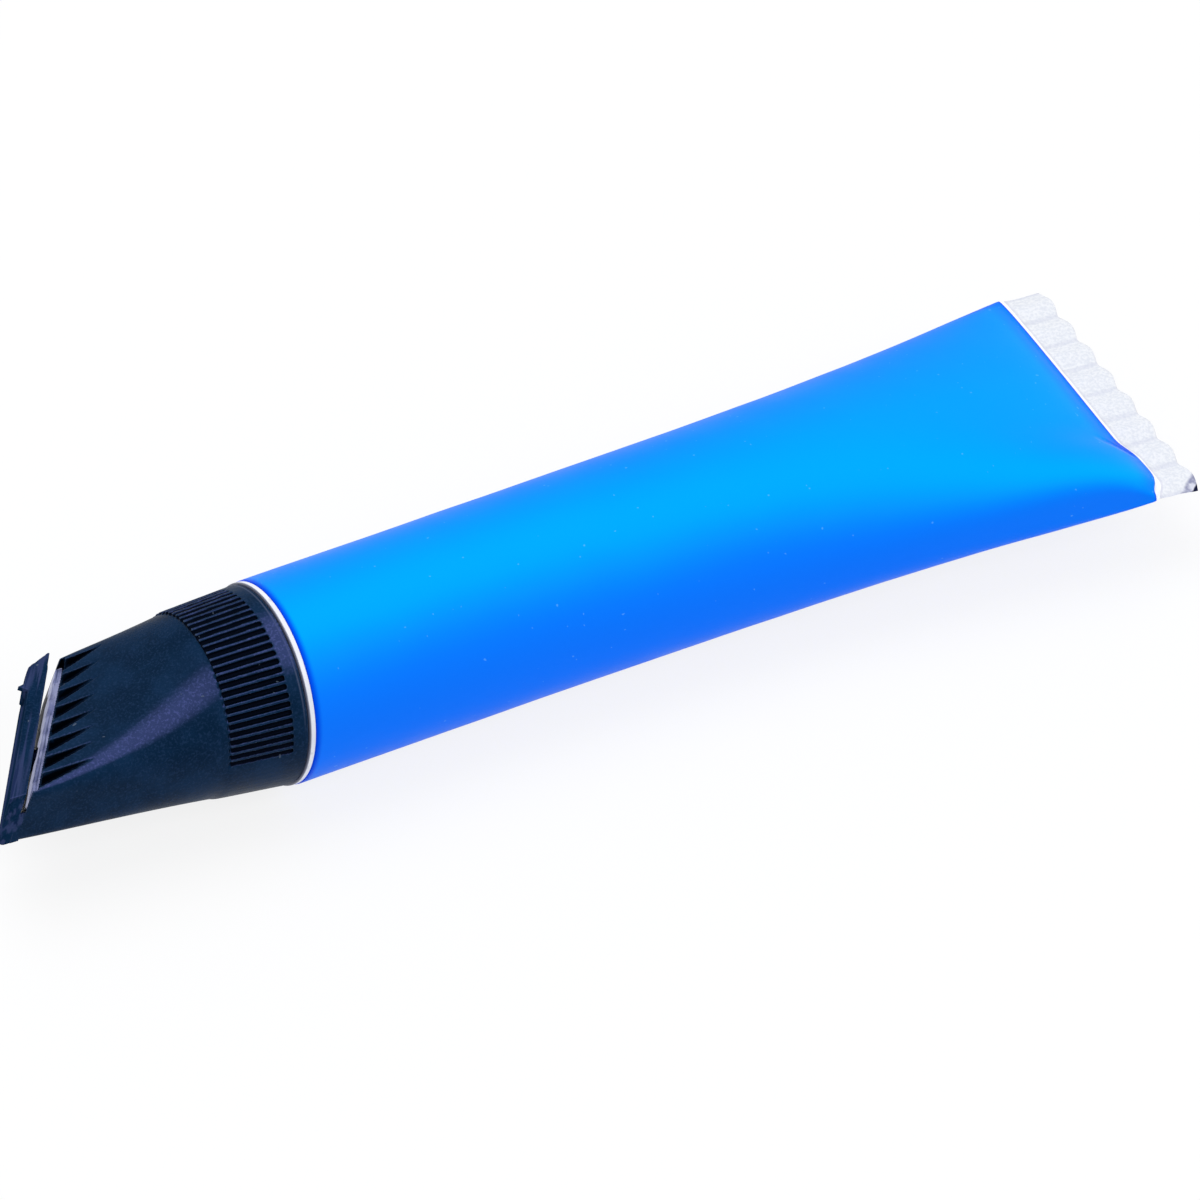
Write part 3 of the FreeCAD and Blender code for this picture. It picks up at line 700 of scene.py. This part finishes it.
def softened_facing(piece, passes):
    """Gives the direction each point faces, in degrees from the near side over the top."""
    faces = [Vector((vertex.normal.y, vertex.normal.z)) for vertex in piece.data.vertices]
    neighbours = [[] for _ in faces]
    for mesh_edge in piece.data.edges:
        first, second = mesh_edge.vertices
        neighbours[first].append(second)
        neighbours[second].append(first)
    nought = Vector((0, 0))
    for _ in range(passes):
        faces = [
            (face + sum((faces[index] for index in around), nought) / max(len(around), 1)) / 2
            for face, around in zip(faces, neighbours)
        ]

    def facing(vertex):
        face = faces[vertex.index]
        angle = math.degrees(math.atan2(face.y, -face.x))
        if angle < -90:
            angle += 360
        x = vertex.co.x
        tail = smooth_step(x, SEAM_START - 60 * MM, SEAM_START - 6 * MM)
        share = min(max(x / SEAM_START, 0), 1)
        aside = (vertex.co.y - TAIL_SIDE * share) / oval(share)[0]
        far_corner = smooth_step(aside, 0.93, 0.99)
        far_corner *= smooth_step(x, SEAM_START - 16 * MM, SEAM_START)
        return angle + 0.4 * tail * max(TAIL_LIGHT - angle, 0) + far_corner * FAR_CORNER_TURN

    return facing


# painted shading: the tail's near side takes on more of the lighter colour of this angle, and its
# far corner's darker colour is that of a point turned this much further
TAIL_LIGHT = 62
FAR_CORNER_TURN = 70
store(sleeve, "print_end", lambda vertex: SEAM_START + near_bulge(vertex.co))
store(sleeve, "pressed", lambda vertex: math.cos(2 * math.pi * RIDGES * across_seam(vertex.co)))
store(sleeve, "facing", softened_facing(sleeve, 20))
store(sleeve, "curled", lambda vertex: corner_share(vertex.co))

# %% [markdown]
# ### A soft wall
#
# A filled soft tube is never quite even. A Displace modifier with a cloud texture gives shallow
# dents of a tenth of a millimetre, held by a vertex group so that the ends stay as they are. A
# Subdivision Surface modifier rounds everything. Then the short fold is pressed in, from above,
# and the underside settles on the surface it lies on.

# %% Dents, subdivision and the settled underside
soft_part = sleeve.vertex_groups.new(name="soft part")
for vertex in sleeve.data.vertices:
    past_head = smooth_step(vertex.co.x, 6 * MM, 30 * MM)
    before_seam = smooth_step(vertex.co.x, SEAM_START, 110 * MM)
    soft_part.add([vertex.index], past_head * before_seam, "REPLACE")
dents = bpy.data.textures.new("soft dents", "CLOUDS")
dents.noise_scale = 18 * MM
apply_modifier(sleeve, "DISPLACE", texture=dents, texture_coords="LOCAL", strength=0.22 * MM,
               mid_level=0.5, vertex_group="soft part")
sleeve.vertex_groups.clear()
apply_modifier(sleeve, "SUBSURF", levels=1, render_levels=1)
# the points are chosen first, because a moved point changes the normals of those around it
upper_side = [vertex for vertex in sleeve.data.vertices if vertex.normal.z > 0.3]
for vertex in upper_side:
    vertex.co.z -= crease(vertex.co)

# painted gleam on the fold and painted shade between the fold and the seam
store(sleeve, "fold", lambda vertex: fold_light(vertex.co) if vertex.normal.z > 0.2 else 0.0)
store(sleeve, "past_fold", lambda vertex: fold_shade(vertex.co) if vertex.normal.z > 0.2 else 0.0)

SETTLE = 0.12 * MM
sleeve.data.transform(LAID)
for vertex in sleeve.data.vertices:
    if vertex.co.z < 10 * SETTLE:
        vertex.co.z = SETTLE * math.log1p(math.exp(max(vertex.co.z / SETTLE, -30)))
finish_piece(sleeve, "sleeve_skin", "tube", printed_laminate, 60, lay=False)
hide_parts("tube_sleeve")

# %% [markdown]
# ## The moulded head
#
# The head is white plastic: a rim that shows as a thin ring between the sleeve and the cap, a
# shallow shoulder, and a neck with a coarse thread of a little over two turns. It is turned from
# its outline, with small rounds where a mould has them.

# %% Moulded white plastic
HEAD_WHITES = ((0.86, 0.87, 0.92, 1), (0.74, 0.76, 0.84, 1))
SMUDGE_GREY = (0.45, 0.46, 0.52, 1)
CAP_SHADE = (0.10, 0.11, 0.17, 1)  # from the rim's edge beside the cap towards the neck


def build_white_plastic():
    material, tree, shader, along = new_material("moulded_white")
    colour = add_mottle(tree, along, *HEAD_WHITES, 140)
    dull = step_mask(tree, noise(tree, along, 420, 2), 0.62, 0.72)
    colour = mix_colour(tree, scaled(tree, dull, 0.5), colour, SMUDGE_GREY)
    place = node(tree, "ShaderNodeSeparateXYZ", {0: along})
    past_rim = step_mask(tree, place.outputs["X"], -0.60 * MM, -0.80 * MM)
    colour = mix_colour(tree, past_rim, colour, CAP_SHADE)
    tree.links.new(colour, shader.inputs["Base Color"])
    add_grain(tree, shader, along, grain_per_metre=3000, roughness=0.34, roughness_change=0.06,
              bump_strength=0.1, bump_depth=0.00002)
    return material


moulded_white = build_white_plastic()

# %% Turn the head
# place along the axis and radius in mm: the rim, the shoulder, the neck and the edge of its bore
HEAD_OUTLINE = (
    (0.0, 2.5), (0.0, 13.74), (-0.03, 13.84), (-0.1, 13.89), (-0.2, 13.9), (-0.72, 13.9),
    (-0.82, 13.88), (-0.88, 13.82), (-0.9, 13.72), (-0.9, 12.3), (-0.98, 12.15), (-2.28, 7.0),
    (-2.5, 6.65), (-2.8, 6.5), (-3.2, 6.45), (-10.9, 6.45), (-11.2, 6.4), (-11.42, 6.25),
    (-11.5, 6.0), (-11.5, 2.8), (-11.44, 2.6), (-11.3, 2.5),
)
head = turned_piece([(x * MM, radius * MM) for x, radius in HEAD_OUTLINE], 128)

# %% [markdown]
# The thread is a small six-sided bar that winds round the neck. Its cross-section is extruded in
# short steps, each turned a little about the axis and moved along it. It starts and ends thin, as
# a moulded thread does.

# %% Wind the thread
PITCH = 3.2 * MM
TURNS = 2.2
STEPS_PER_TURN = 40
THREAD_START = -3.6 * MM
THREAD_MIDDLE = 6.62 * MM  # distance of the bar's middle and of its root from the axis
THREAD_ROOT = 6.3 * MM
THREAD_BAR = 0.6 * MM
THREAD_FLATNESS = 0.62
THIN_END = 0.2  # size of the bar at the thread's two ends
RUN_OUT_STEPS = 8


def wind_thread():
    bpy.ops.object.select_all(action="DESELECT")
    bpy.ops.mesh.primitive_circle_add(
        vertices=6, radius=THREAD_BAR, fill_type="NGON", location=(THREAD_START, 0, THREAD_MIDDLE),
        rotation=(math.pi / 2, 0, 0),
    )
    piece = bpy.context.object
    apply_place()
    edit_all()
    bpy.ops.transform.resize(
        value=(1, 1, THREAD_FLATNESS), center_override=(THREAD_START, 0, THREAD_MIDDLE)
    )
    bpy.ops.transform.resize(
        value=(THIN_END, 1, THIN_END), center_override=(THREAD_START, 0, THREAD_ROOT)
    )
    count = round(TURNS * STEPS_PER_TURN)
    size = THIN_END
    for step in range(1, count + 1):
        turn = 2 * math.pi * step / STEPS_PER_TURN
        bpy.ops.mesh.extrude_region_move(
            TRANSFORM_OT_translate={"value": (-PITCH / STEPS_PER_TURN, 0, 0)}
        )
        bpy.ops.transform.rotate(value=-2 * math.pi / STEPS_PER_TURN, orient_axis="X",
                                 center_override=(0, 0, 0))
        from_end = min(step, count - step) / RUN_OUT_STEPS
        target = THIN_END + (1 - THIN_END) * smooth_step(from_end, 0, 1)
        centre = Vector((THREAD_START - PITCH * step / STEPS_PER_TURN, 0, THREAD_ROOT))
        centre.rotate(Matrix.Rotation(turn, 3, "X"))
        bpy.ops.transform.resize(value=(target / size,) * 3, center_override=centre)
        size = target
    bpy.ops.mesh.select_all(action="SELECT")
    bpy.ops.mesh.normals_make_consistent(inside=False)
    bpy.ops.object.mode_set(mode="OBJECT")
    return piece


thread = wind_thread()
thread_reach = max(math.hypot(point.co.y, point.co.z) for point in thread.data.vertices)
print("the thread reaches", round(thread_reach / MM, 2), "mm from the axis")
select_only(head)
thread.select_set(True)
bpy.ops.object.join()
finish_piece(head, "threaded_head", "tube", moulded_white, 35)
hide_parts("shoulder_neck")

# %% [markdown]
# ## The spreader cap
# The cap and its closing strip are one moulding of soft black plastic, with a dull grainy skin and
# no truly sharp edge. Their solids have the right shape but knife-sharp edges. So each is copied,
# its loose triangles are merged, and a voxel Remesh followed by a Smooth modifier gives every edge
# a small round. Decimate then removes the points that flat areas don't need. The finish reads
# three numbers that each point carries: how much it stands out, for a painted highlight along
# edges, how open it lies, for painted shade in hollows, and how it faces the light, for a painted
# highlight.

# %% Black moulded plastic
NAVY = (0.002, 0.0135, 0.037, 1)
NAVY_LIGHT = (0.004, 0.021, 0.057, 1)
# painted shade deep in hollows and grooves
CAVITY_SHADE = (0.0002, 0.0012, 0.0035, 1)
# a painted highlight along edges and crests
EDGE_HIGHLIGHT = (0.05, 0.075, 0.14, 1)
# a painted violet highlight where the plastic faces the light
GLEAM = (0.055, 0.072, 0.21, 1)
NAVY_SPECK = (0.014, 0.036, 0.09, 1)
DUST = (0.10, 0.13, 0.18, 1)


def build_black_plastic(name, edge_highlight, shine, add_detail):
    """Dull navy-black plastic: painted shade where closed in, a painted highlight along its edges.
    """
    material, tree, shader, along = new_material(name)
    colour = add_mottle(tree, along, NAVY, NAVY_LIGHT, 170)
    grain = add_grain(tree, shader, along, grain_per_metre=3000, roughness=0.42,
                      roughness_change=0.08, bump_strength=0.7, bump_depth=0.00005)
    speck = step_mask(tree, grain.outputs["Mask"], 0.48, 0.66)
    colour = mix_colour(tree, scaled(tree, speck, 0.5), colour, NAVY_SPECK)
    colour = add_detail(tree, along, colour)
    # a grainy painted highlight where a point faces the light
    grainy = maths(tree, "ADD", scaled(tree, speck, 0.5), 0.5)
    gleam = scaled(tree, attribute(tree, "gleam"), grainy)
    colour = mix_colour(tree, gleam, colour, GLEAM)
    # a painted highlight along edges and crests
    lit_edges = step_mask(tree, attribute(tree, "edge"), 0.04, 0.30)
    colour = mix_colour(tree, scaled(tree, lit_edges, edge_highlight), colour, EDGE_HIGHLIGHT)
    # painted shade where a point is closed in
    closed = step_mask(tree, attribute(tree, "open"), 0.90, 0.50)
    colour = mix_colour(tree, closed, colour, CAVITY_SHADE)
    dusty = step_mask(tree, noise(tree, along, 1100, 0), 0.84, 0.86)
    colour = mix_colour(tree, scaled(tree, dusty, 0.6), colour, DUST)
    tree.links.new(colour, shader.inputs["Base Color"])
    shader.inputs["IOR"].default_value = 1.3
    shader.inputs["Specular IOR Level"].default_value = shine
    shader.inputs["Specular Tint"].default_value = (0.3, 0.4, 1, 1)
    return material, tree, shader, along, colour


# %% [markdown]
# The cap's lip has a bare ledge in front of the comb. A mask from an attribute mixes a pale lilac
# with dark streaks along the lip over the black, on the ledge and the upper part of the lip's face.
# On the lip's face, which lies in the shade, the lilac also glows weakly, a painted light. On the
# plain band beside the head, the mould left one fine line. The strip has streaks along it, lighter
# and darker.

# %% What the cap and the strip have of their own
LIP_SKEW = math.radians(34.2)
BAND_LINE = -1.45 * MM
LINE_GREY = (0.08, 0.10, 0.17, 1)
LIP_LILACS = ((0.42, 0.45, 0.70, 1), (0.24, 0.27, 0.52, 1))
LIP_STREAK = (0.05, 0.07, 0.17, 1)
# painted light: the colour in which the shaded lip's face glows
LIP_PAINTED_GLOW = (0.72, 0.75, 1.0, 1)
GLOW_STRENGTH = 0.4
STRIP_LIGHT = (0.05, 0.065, 0.17, 1)
STRIP_DARK = (0.006, 0.016, 0.06, 1)


def streaks_along_lip(tree, along, per_metre):
    """Noise drawn out along the lip, in coordinates that turn with the lip."""
    turned = node(tree, "ShaderNodeMapping", {
        "Vector": along, "Rotation": (0, 0, math.pi / 2 - LIP_SKEW),
    }, vector_type="TEXTURE")
    drawn = node(tree, "ShaderNodeVectorMath", {0: turned.outputs["Vector"], 1: (0.04, 1.0, 0.35)},
                 operation="MULTIPLY")
    return noise(tree, drawn.outputs[0], per_metre, 2)


def add_cap_details(tree, along, colour):
    place = node(tree, "ShaderNodeSeparateXYZ", {0: along})
    away = maths(tree, "ABSOLUTE", maths(tree, "SUBTRACT", place.outputs["X"], BAND_LINE))
    line = step_mask(tree, away, 0.16 * MM, 0.05 * MM)
    high = step_mask(tree, place.outputs["Z"], 2.0 * MM, 9.0 * MM)
    return mix_colour(tree, scaled(tree, scaled(tree, line, high), 0.5), colour, LINE_GREY)


def build_cap_plastic():
    material, tree, shader, along, black = build_black_plastic(
        "moulded_black_cap", edge_highlight=0.8, shine=0.1, add_detail=add_cap_details
    )
    film = add_mottle(tree, along, *LIP_LILACS, 420)
    streaks = step_mask(tree, streaks_along_lip(tree, along, 2600.0), 0.52, 0.66)
    film = mix_colour(tree, scaled(tree, streaks, 0.8), film, LIP_STREAK)
    lilac_share = step_mask(tree, attribute(tree, "lip"), 0.4, 0.75)
    tree.links.new(mix_colour(tree, lilac_share, black, film), shader.inputs["Base Color"])
    # on the lip's face the lilac glows weakly, a painted light
    shaded = scaled(tree, lilac_share, attribute(tree, "lip_face"))
    glow = mix_colour(tree, shaded, (0, 0, 0, 1), LIP_PAINTED_GLOW)
    tree.links.new(glow, shader.inputs["Emission Color"])
    shader.inputs["Emission Strength"].default_value = GLOW_STRENGTH
    return material


def add_strip_details(tree, along, colour):
    light = step_mask(tree, streaks_along_lip(tree, along, 1500.0), 0.46, 0.62)
    colour = mix_colour(tree, scaled(tree, light, 0.5), colour, STRIP_LIGHT)
    dark = step_mask(tree, streaks_along_lip(tree, along, 2300.0), 0.56, 0.64)
    return mix_colour(tree, scaled(tree, dark, 0.7), colour, STRIP_DARK)


cap_black = build_cap_plastic()
strip_black = build_black_plastic(
    "moulded_black_strip", edge_highlight=0.5, shine=0.0, add_detail=add_strip_details
)[0]

# %% Copy a solid and round its edges


def merged_copy(name):
    mesh = frame["nodes"][name].data.copy()
    piece = bpy.data.objects.new(name + "_copy", mesh)
    bpy.context.scene.collection.objects.link(piece)
    select_only(piece)
    edit_all()
    bpy.ops.mesh.remove_doubles(threshold=0.0005 * MM)
    bpy.ops.object.mode_set(mode="OBJECT")
    return piece


def round_edges(piece, voxel, triangles):
    """Remeshes a piece, smooths its edges and keeps at most so many triangles."""
    apply_modifier(piece, "REMESH", mode="VOXEL", voxel_size=voxel, adaptivity=0.0)
    apply_modifier(piece, "SMOOTH", factor=0.5, iterations=2)
    piece.data.calc_loop_triangles()
    count = len(piece.data.loop_triangles)
    print("remeshed to", count, "triangles")
    if count > triangles:
        apply_modifier(piece, "DECIMATE", ratio=triangles / count)


def mark_edges(piece):
    """Stores how much each point stands proud of its neighbours, for a painted highlight along
    edges.
    """
    mesh = piece.data
    total = [0.0] * len(mesh.vertices)
    edges = [0] * len(mesh.vertices)
    for mesh_edge in mesh.edges:
        first, second = (mesh.vertices[index] for index in mesh_edge.vertices)
        away = (second.co - first.co).normalized()
        total[first.index] -= away.dot(first.normal)
        total[second.index] += away.dot(second.normal)
        edges[first.index] += 1
        edges[second.index] += 1
    store(piece, "edge", lambda vertex: total[vertex.index] / max(edges[vertex.index], 1))


# the cap's collar: its two ends, its radius over the ribs, how that gets less, and its plain band
COLLAR_START = -1.0 * MM
COLLAR_END = -11.9 * MM
COLLAR_WIDE = 13.7 * MM
COLLAR_SLOPE = 0.85 / 10.9
PLAIN_BAND = 2.0 * MM
# the rays that measure how open a point lies: how many, how long, and their two tilts
RAYS = 8
RAY_REACH = 2.6 * MM
RAY_TILTS = (math.radians(58), math.radians(28))
GROOVE_SHADE = 0.6


def rib_groove(vertex):
    """1 on the floor of a groove between the grip ribs of the collar, 0 on the ribs."""
    point = UPRIGHT @ vertex.co
    crest = COLLAR_WIDE - COLLAR_SLOPE * (COLLAR_START - point.x)
    depth = crest - math.hypot(point.y, point.z)
    if depth > 1 * MM or not COLLAR_END < point.x < COLLAR_START - PLAIN_BAND:
        return 0.0
    return smooth_step(depth, 0.08 * MM, 0.27 * MM)


def mark_openness(piece):
    """Stores the share of short rays from each point that leave the piece: low deep in a groove,
    for painted shade.
    """
    bpy.context.view_layer.update()

    def openness(vertex):
        normal = vertex.normal
        side = normal.orthogonal().normalized()
        other = normal.cross(side)
        start = vertex.co + normal * 0.03 * MM
        free = 0
        for ray in range(RAYS):
            turn = 2 * math.pi * ray / RAYS
            tilt = RAY_TILTS[ray % 2]
            way = side * math.cos(turn) + other * math.sin(turn)
            way = normal * math.cos(tilt) + way * math.sin(tilt)
            free += not piece.ray_cast(start, way, distance=RAY_REACH)[0]
        return min(free / RAYS, 1 - GROOVE_SHADE * rib_groove(vertex))

    store(piece, "open", openness)


def mark_gleam(piece):
    """Stores how each point faces between the light and a viewer before the tube, for a painted
    highlight.
    """
    towards = Vector((0.0, -0.36, 0.93)).normalized()
    store(piece, "gleam", lambda vertex: smooth_step(vertex.normal.dot(towards), 0.925, 0.992))


def soften(piece, name, chosen, passes):
    """Smooths only the points that are chosen, by a vertex group."""
    group = piece.vertex_groups.new(name=name)
    for vertex in piece.data.vertices:
        group.add([vertex.index], chosen(UPRIGHT @ vertex.co), "REPLACE")
    apply_modifier(piece, "SMOOTH", factor=0.5, iterations=passes, vertex_group=name)
    piece.vertex_groups.clear()


# %% [markdown]
# The lip's face is cut askew and leans: its lower edge is in front. The CAD cap carries its film
# hinge as a stiff stub. A film has to bend when the strip opens, so the stub is cut off the copy
# at the lip's face, with Bisect, and the film is modelled anew as a piece of its own.

# %% Where the lip is
LIP_REACH = 32.84 * MM
LIP_HALF_WIDTH = 11.05 * MM
LIP_HALF_HEIGHT = 4.3 * MM
LIP_LEAN = math.tan(math.radians(11.8)) / math.cos(LIP_SKEW)
STRIP_LEAN = math.tan(math.radians(8.6)) / math.cos(LIP_SKEW)
STRIP_GAP = 0.78 * MM / math.cos(LIP_SKEW)
LEDGE = 0.74 * MM
LEDGE_FLOOR = LIP_HALF_HEIGHT - 2.2 * MM


def lip_x(across, height):
    """Place of the lip's face along the tube."""
    return -LIP_REACH + math.tan(LIP_SKEW) * across - LIP_LEAN * (LIP_HALF_HEIGHT - height)


def strip_x(height):
    """Place of the closing strip's inner face beside the hinge."""
    lean = STRIP_LEAN * (LIP_HALF_HEIGHT - height)
    return lip_x(-LIP_HALF_WIDTH, LIP_HALF_HEIGHT) - STRIP_GAP - lean


# %% The cap


def cut_off_film(piece):
    outward = LAID.to_3x3() @ Vector((-1, math.tan(LIP_SKEW), LIP_LEAN)).normalized()
    corner_x = lip_x(-LIP_HALF_WIDTH, LIP_HALF_HEIGHT)
    corner = LAID @ Vector((corner_x, -LIP_HALF_WIDTH, LIP_HALF_HEIGHT))
    select_only(piece)
    edit_all()
    bpy.ops.mesh.bisect(plane_co=corner + outward * 0.03 * MM, plane_no=outward,
                        use_fill=True, clear_outer=True)
    bpy.ops.object.mode_set(mode="OBJECT")


RIB_SECTOR = math.radians(88)


def plain_joint(point):
    """1 where the collar runs into the nose below the ribs, at either side."""
    turn = abs(math.atan2(point.y, point.z))
    near = smooth_step(abs(point.x - COLLAR_END - 0.3 * MM), 1.6 * MM, 0.6 * MM)
    return near * smooth_step(turn, RIB_SECTOR, RIB_SECTOR + 0.12)


def on_lip(vertex):
    """1 on the ledge in front of the comb and on the upper part of the lip's face."""
    point = UPRIGHT @ vertex.co
    ledge_start = lip_x(point.y, LIP_HALF_HEIGHT) + LEDGE
    inside = abs(point.y) < LIP_HALF_WIDTH - 0.25 * MM and point.z < LEDGE_FLOOR + 0.15 * MM
    if not inside or point.x > ledge_start - 0.25 * MM:
        return 0.0
    return smooth_step(point.z, LEDGE_FLOOR - 3.4 * MM, LEDGE_FLOOR - 1.8 * MM)


cap = merged_copy("spreader_cap")
cut_off_film(cap)
round_edges(cap, (0.13) * MM, 190000)
soften(cap, "plain joint", plain_joint, 40)
mark_edges(cap)
mark_openness(cap)
mark_gleam(cap)
store(cap, "lip", on_lip)
store(cap, "lip_face", lambda vertex: smooth_step(vertex.normal.z, 0.75, 0.4))
finish_piece(cap, "comb_cap", "cap", cap_black, 80, lay=False)
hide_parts("spreader_cap")

# %% [markdown]
# The closing strip is a thin bar with a slanted tip, a finger tab and a small barb. Its tip and
# its foot at the hinge are rounder than its long edges, so these are smoothed more.

# %% The closing strip


def strip_ends(point):
    """1 at the strip's tip and at its lower corner beside the hinge."""
    tip = smooth_step(point.y, LIP_HALF_WIDTH - 2.0 * MM, LIP_HALF_WIDTH - 0.6 * MM)
    foot = math.hypot(point.y + LIP_HALF_WIDTH, point.z + LIP_HALF_HEIGHT)
    return max(tip, smooth_step(foot, 2.6 * MM, 1.0 * MM))


strip = merged_copy("closing_bar")
round_edges(strip, (0.08) * MM, 60000)
soften(strip, "ends", strip_ends, 120)
mark_edges(strip)
mark_openness(strip)
mark_gleam(strip)
finish_piece(strip, "closing_strip", "bar", strip_black, 80, lay=False)
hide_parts("closing_bar")

# %% The film hinge
FILM_TOP = LIP_HALF_HEIGHT - 3.6 * MM
FILM_FOOT = -LIP_HALF_HEIGHT + 0.3 * MM
FILM_THICKNESS = 0.36 * MM
FILM_LENGTH = 2 * MM
FILM_PARTS = 18


def model_film():
    """A thin web from the nose's side to the strip, divided into parts along its length."""
    bpy.ops.object.select_all(action="DESELECT")
    bpy.ops.mesh.primitive_cube_add(size=1)
    piece = bpy.context.object
    piece.dimensions = (FILM_LENGTH, FILM_THICKNESS, FILM_TOP - FILM_FOOT)
    side = 0.02 * MM + FILM_THICKNESS / 2 - LIP_HALF_WIDTH
    piece.location = (0, side, (FILM_TOP + FILM_FOOT) / 2)
    apply_place()
    apply_modifier(piece, "BEVEL", width=0.05 * MM, segments=2)
    bpy.ops.object.mode_set(mode="EDIT")
    for index in range(1, FILM_PARTS):
        bpy.ops.mesh.select_all(action="SELECT")
        cut = FILM_LENGTH * index / FILM_PARTS - FILM_LENGTH / 2
        bpy.ops.mesh.bisect(plane_co=(cut, 0, 0), plane_no=(1, 0, 0))
    bpy.ops.object.mode_set(mode="OBJECT")
    for vertex in piece.data.vertices:
        share = vertex.co.x / FILM_LENGTH + 0.5
        front = strip_x(vertex.co.z) - 0.3 * MM
        back = lip_x(-LIP_HALF_WIDTH, vertex.co.z) + 0.6 * MM
        vertex.co.x = front + (back - front) * share
    return piece


film = model_film()
mark_edges(film)
store(film, "open", lambda vertex: 1.0)
mark_gleam(film)
finish_piece(film, "film_hinge", None, strip_black, 40)
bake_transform(film)

# %% [markdown]
# ## Camera, floor and light
#
# A long lens from well above the tube keeps it nearly free of perspective. The floor and the sky
# are white and the light is soft and even, so that every colour shows about as it is written.

# %% Camera
CAMERA_PLACE = Vector((-523.406, -920.37, 1023.974)) * MM  # seen from the start of the axis
CAMERA_TURN = (46.3949, -3.7807, -28.3481)  # degrees
camera_data = bpy.data.cameras.new("camera")
camera = bpy.data.objects.new("camera", camera_data)
bpy.context.scene.collection.objects.link(camera)
camera.location = axis_start + CAMERA_PLACE
camera.rotation_euler = [math.radians(angle) for angle in CAMERA_TURN]
camera_data.sensor_width = 36
camera_data.lens = 334.42
camera_data.clip_start = 0.05
bpy.context.scene.camera = camera
print("the lens is", camera_data.lens, "mm long")

# %% Floor and sky
FLOOR_SIZE = 6.0
FLOOR_COLOUR = (0.9, 0.9, 0.91, 1)
PLAIN_WHITE = 0.84  # share of plain white in the floor that the camera sees
SKY_COLOUR = (0.95, 0.97, 1.0, 1)
SKY_STRENGTH = 0.62


def seen_rays(tree):
    """1 for rays from the camera, from a reflection or through glass."""
    rays = node(tree, "ShaderNodeLightPath")
    seen = maths(tree, "MAXIMUM", rays.outputs["Is Camera Ray"], rays.outputs["Is Glossy Ray"])
    return maths(tree, "MAXIMUM", seen, rays.outputs["Is Transmission Ray"])


def build_floor():
    bpy.ops.object.select_all(action="DESELECT")
    bpy.ops.mesh.primitive_plane_add(size=FLOOR_SIZE, location=(0, 0, -0.02 * MM))
    floor = bpy.context.object
    floor.name = "floor"
    apply_place()
    material = bpy.data.materials.new("white_floor")
    material.use_nodes = True
    tree = material.node_tree
    shader = find_node(tree, "BSDF_PRINCIPLED")
    shader.inputs["Base Color"].default_value = FLOOR_COLOUR
    shader.inputs["Roughness"].default_value = 0.9
    glow = node(tree, "ShaderNodeEmission", {"Color": (1, 1, 1, 1), "Strength": 1.0})
    share = scaled(tree, seen_rays(tree), PLAIN_WHITE)
    mixer = node(tree, "ShaderNodeMixShader", {0: share, 1: shader.outputs[0], 2: glow.outputs[0]})
    tree.links.new(mixer.outputs[0], find_node(tree, "OUTPUT_MATERIAL").inputs["Surface"])
    floor.data.materials.append(material)


def build_sky():
    sky = bpy.data.worlds.new("sky")
    bpy.context.scene.world = sky
    sky.use_nodes = True
    tree = sky.node_tree
    background = find_node(tree, "BACKGROUND")
    background.inputs["Color"].default_value = SKY_COLOUR
    background.inputs["Strength"].default_value = SKY_STRENGTH
    white = node(tree, "ShaderNodeBackground", {"Color": (1, 1, 1, 1), "Strength": 1.0})
    rays = node(tree, "ShaderNodeLightPath")
    mixer = node(tree, "ShaderNodeMixShader",
                 {0: rays.outputs["Is Camera Ray"], 1: background.outputs[0], 2: white.outputs[0]})
    tree.links.new(mixer.outputs[0], find_node(tree, "OUTPUT_WORLD").inputs["Surface"])


build_floor()
build_sky()

# %% Lamps


def softbox(name, direction, distance, size, power):
    """A square lamp that looks at the tube."""
    lamp_data = bpy.data.lights.new(name, "AREA")
    lamp_data.shape = "SQUARE"
    lamp_data.size = size
    lamp_data.energy = power
    lamp = bpy.data.objects.new(name, lamp_data)
    bpy.context.scene.collection.objects.link(lamp)
    lamp.location = Vector(direction).normalized() * distance
    lamp.rotation_euler = Vector(direction).to_track_quat("Z", "Y").to_euler()


softbox("top_light", (-0.15, 0.25, 1.0), 1.2, 0.9, 7.0)
softbox("front_light", (0.38, -0.57, 0.73), 1.4, 0.35, 4.0)

# %% Finish
bpy.context.scene.view_settings.view_transform = "Standard"
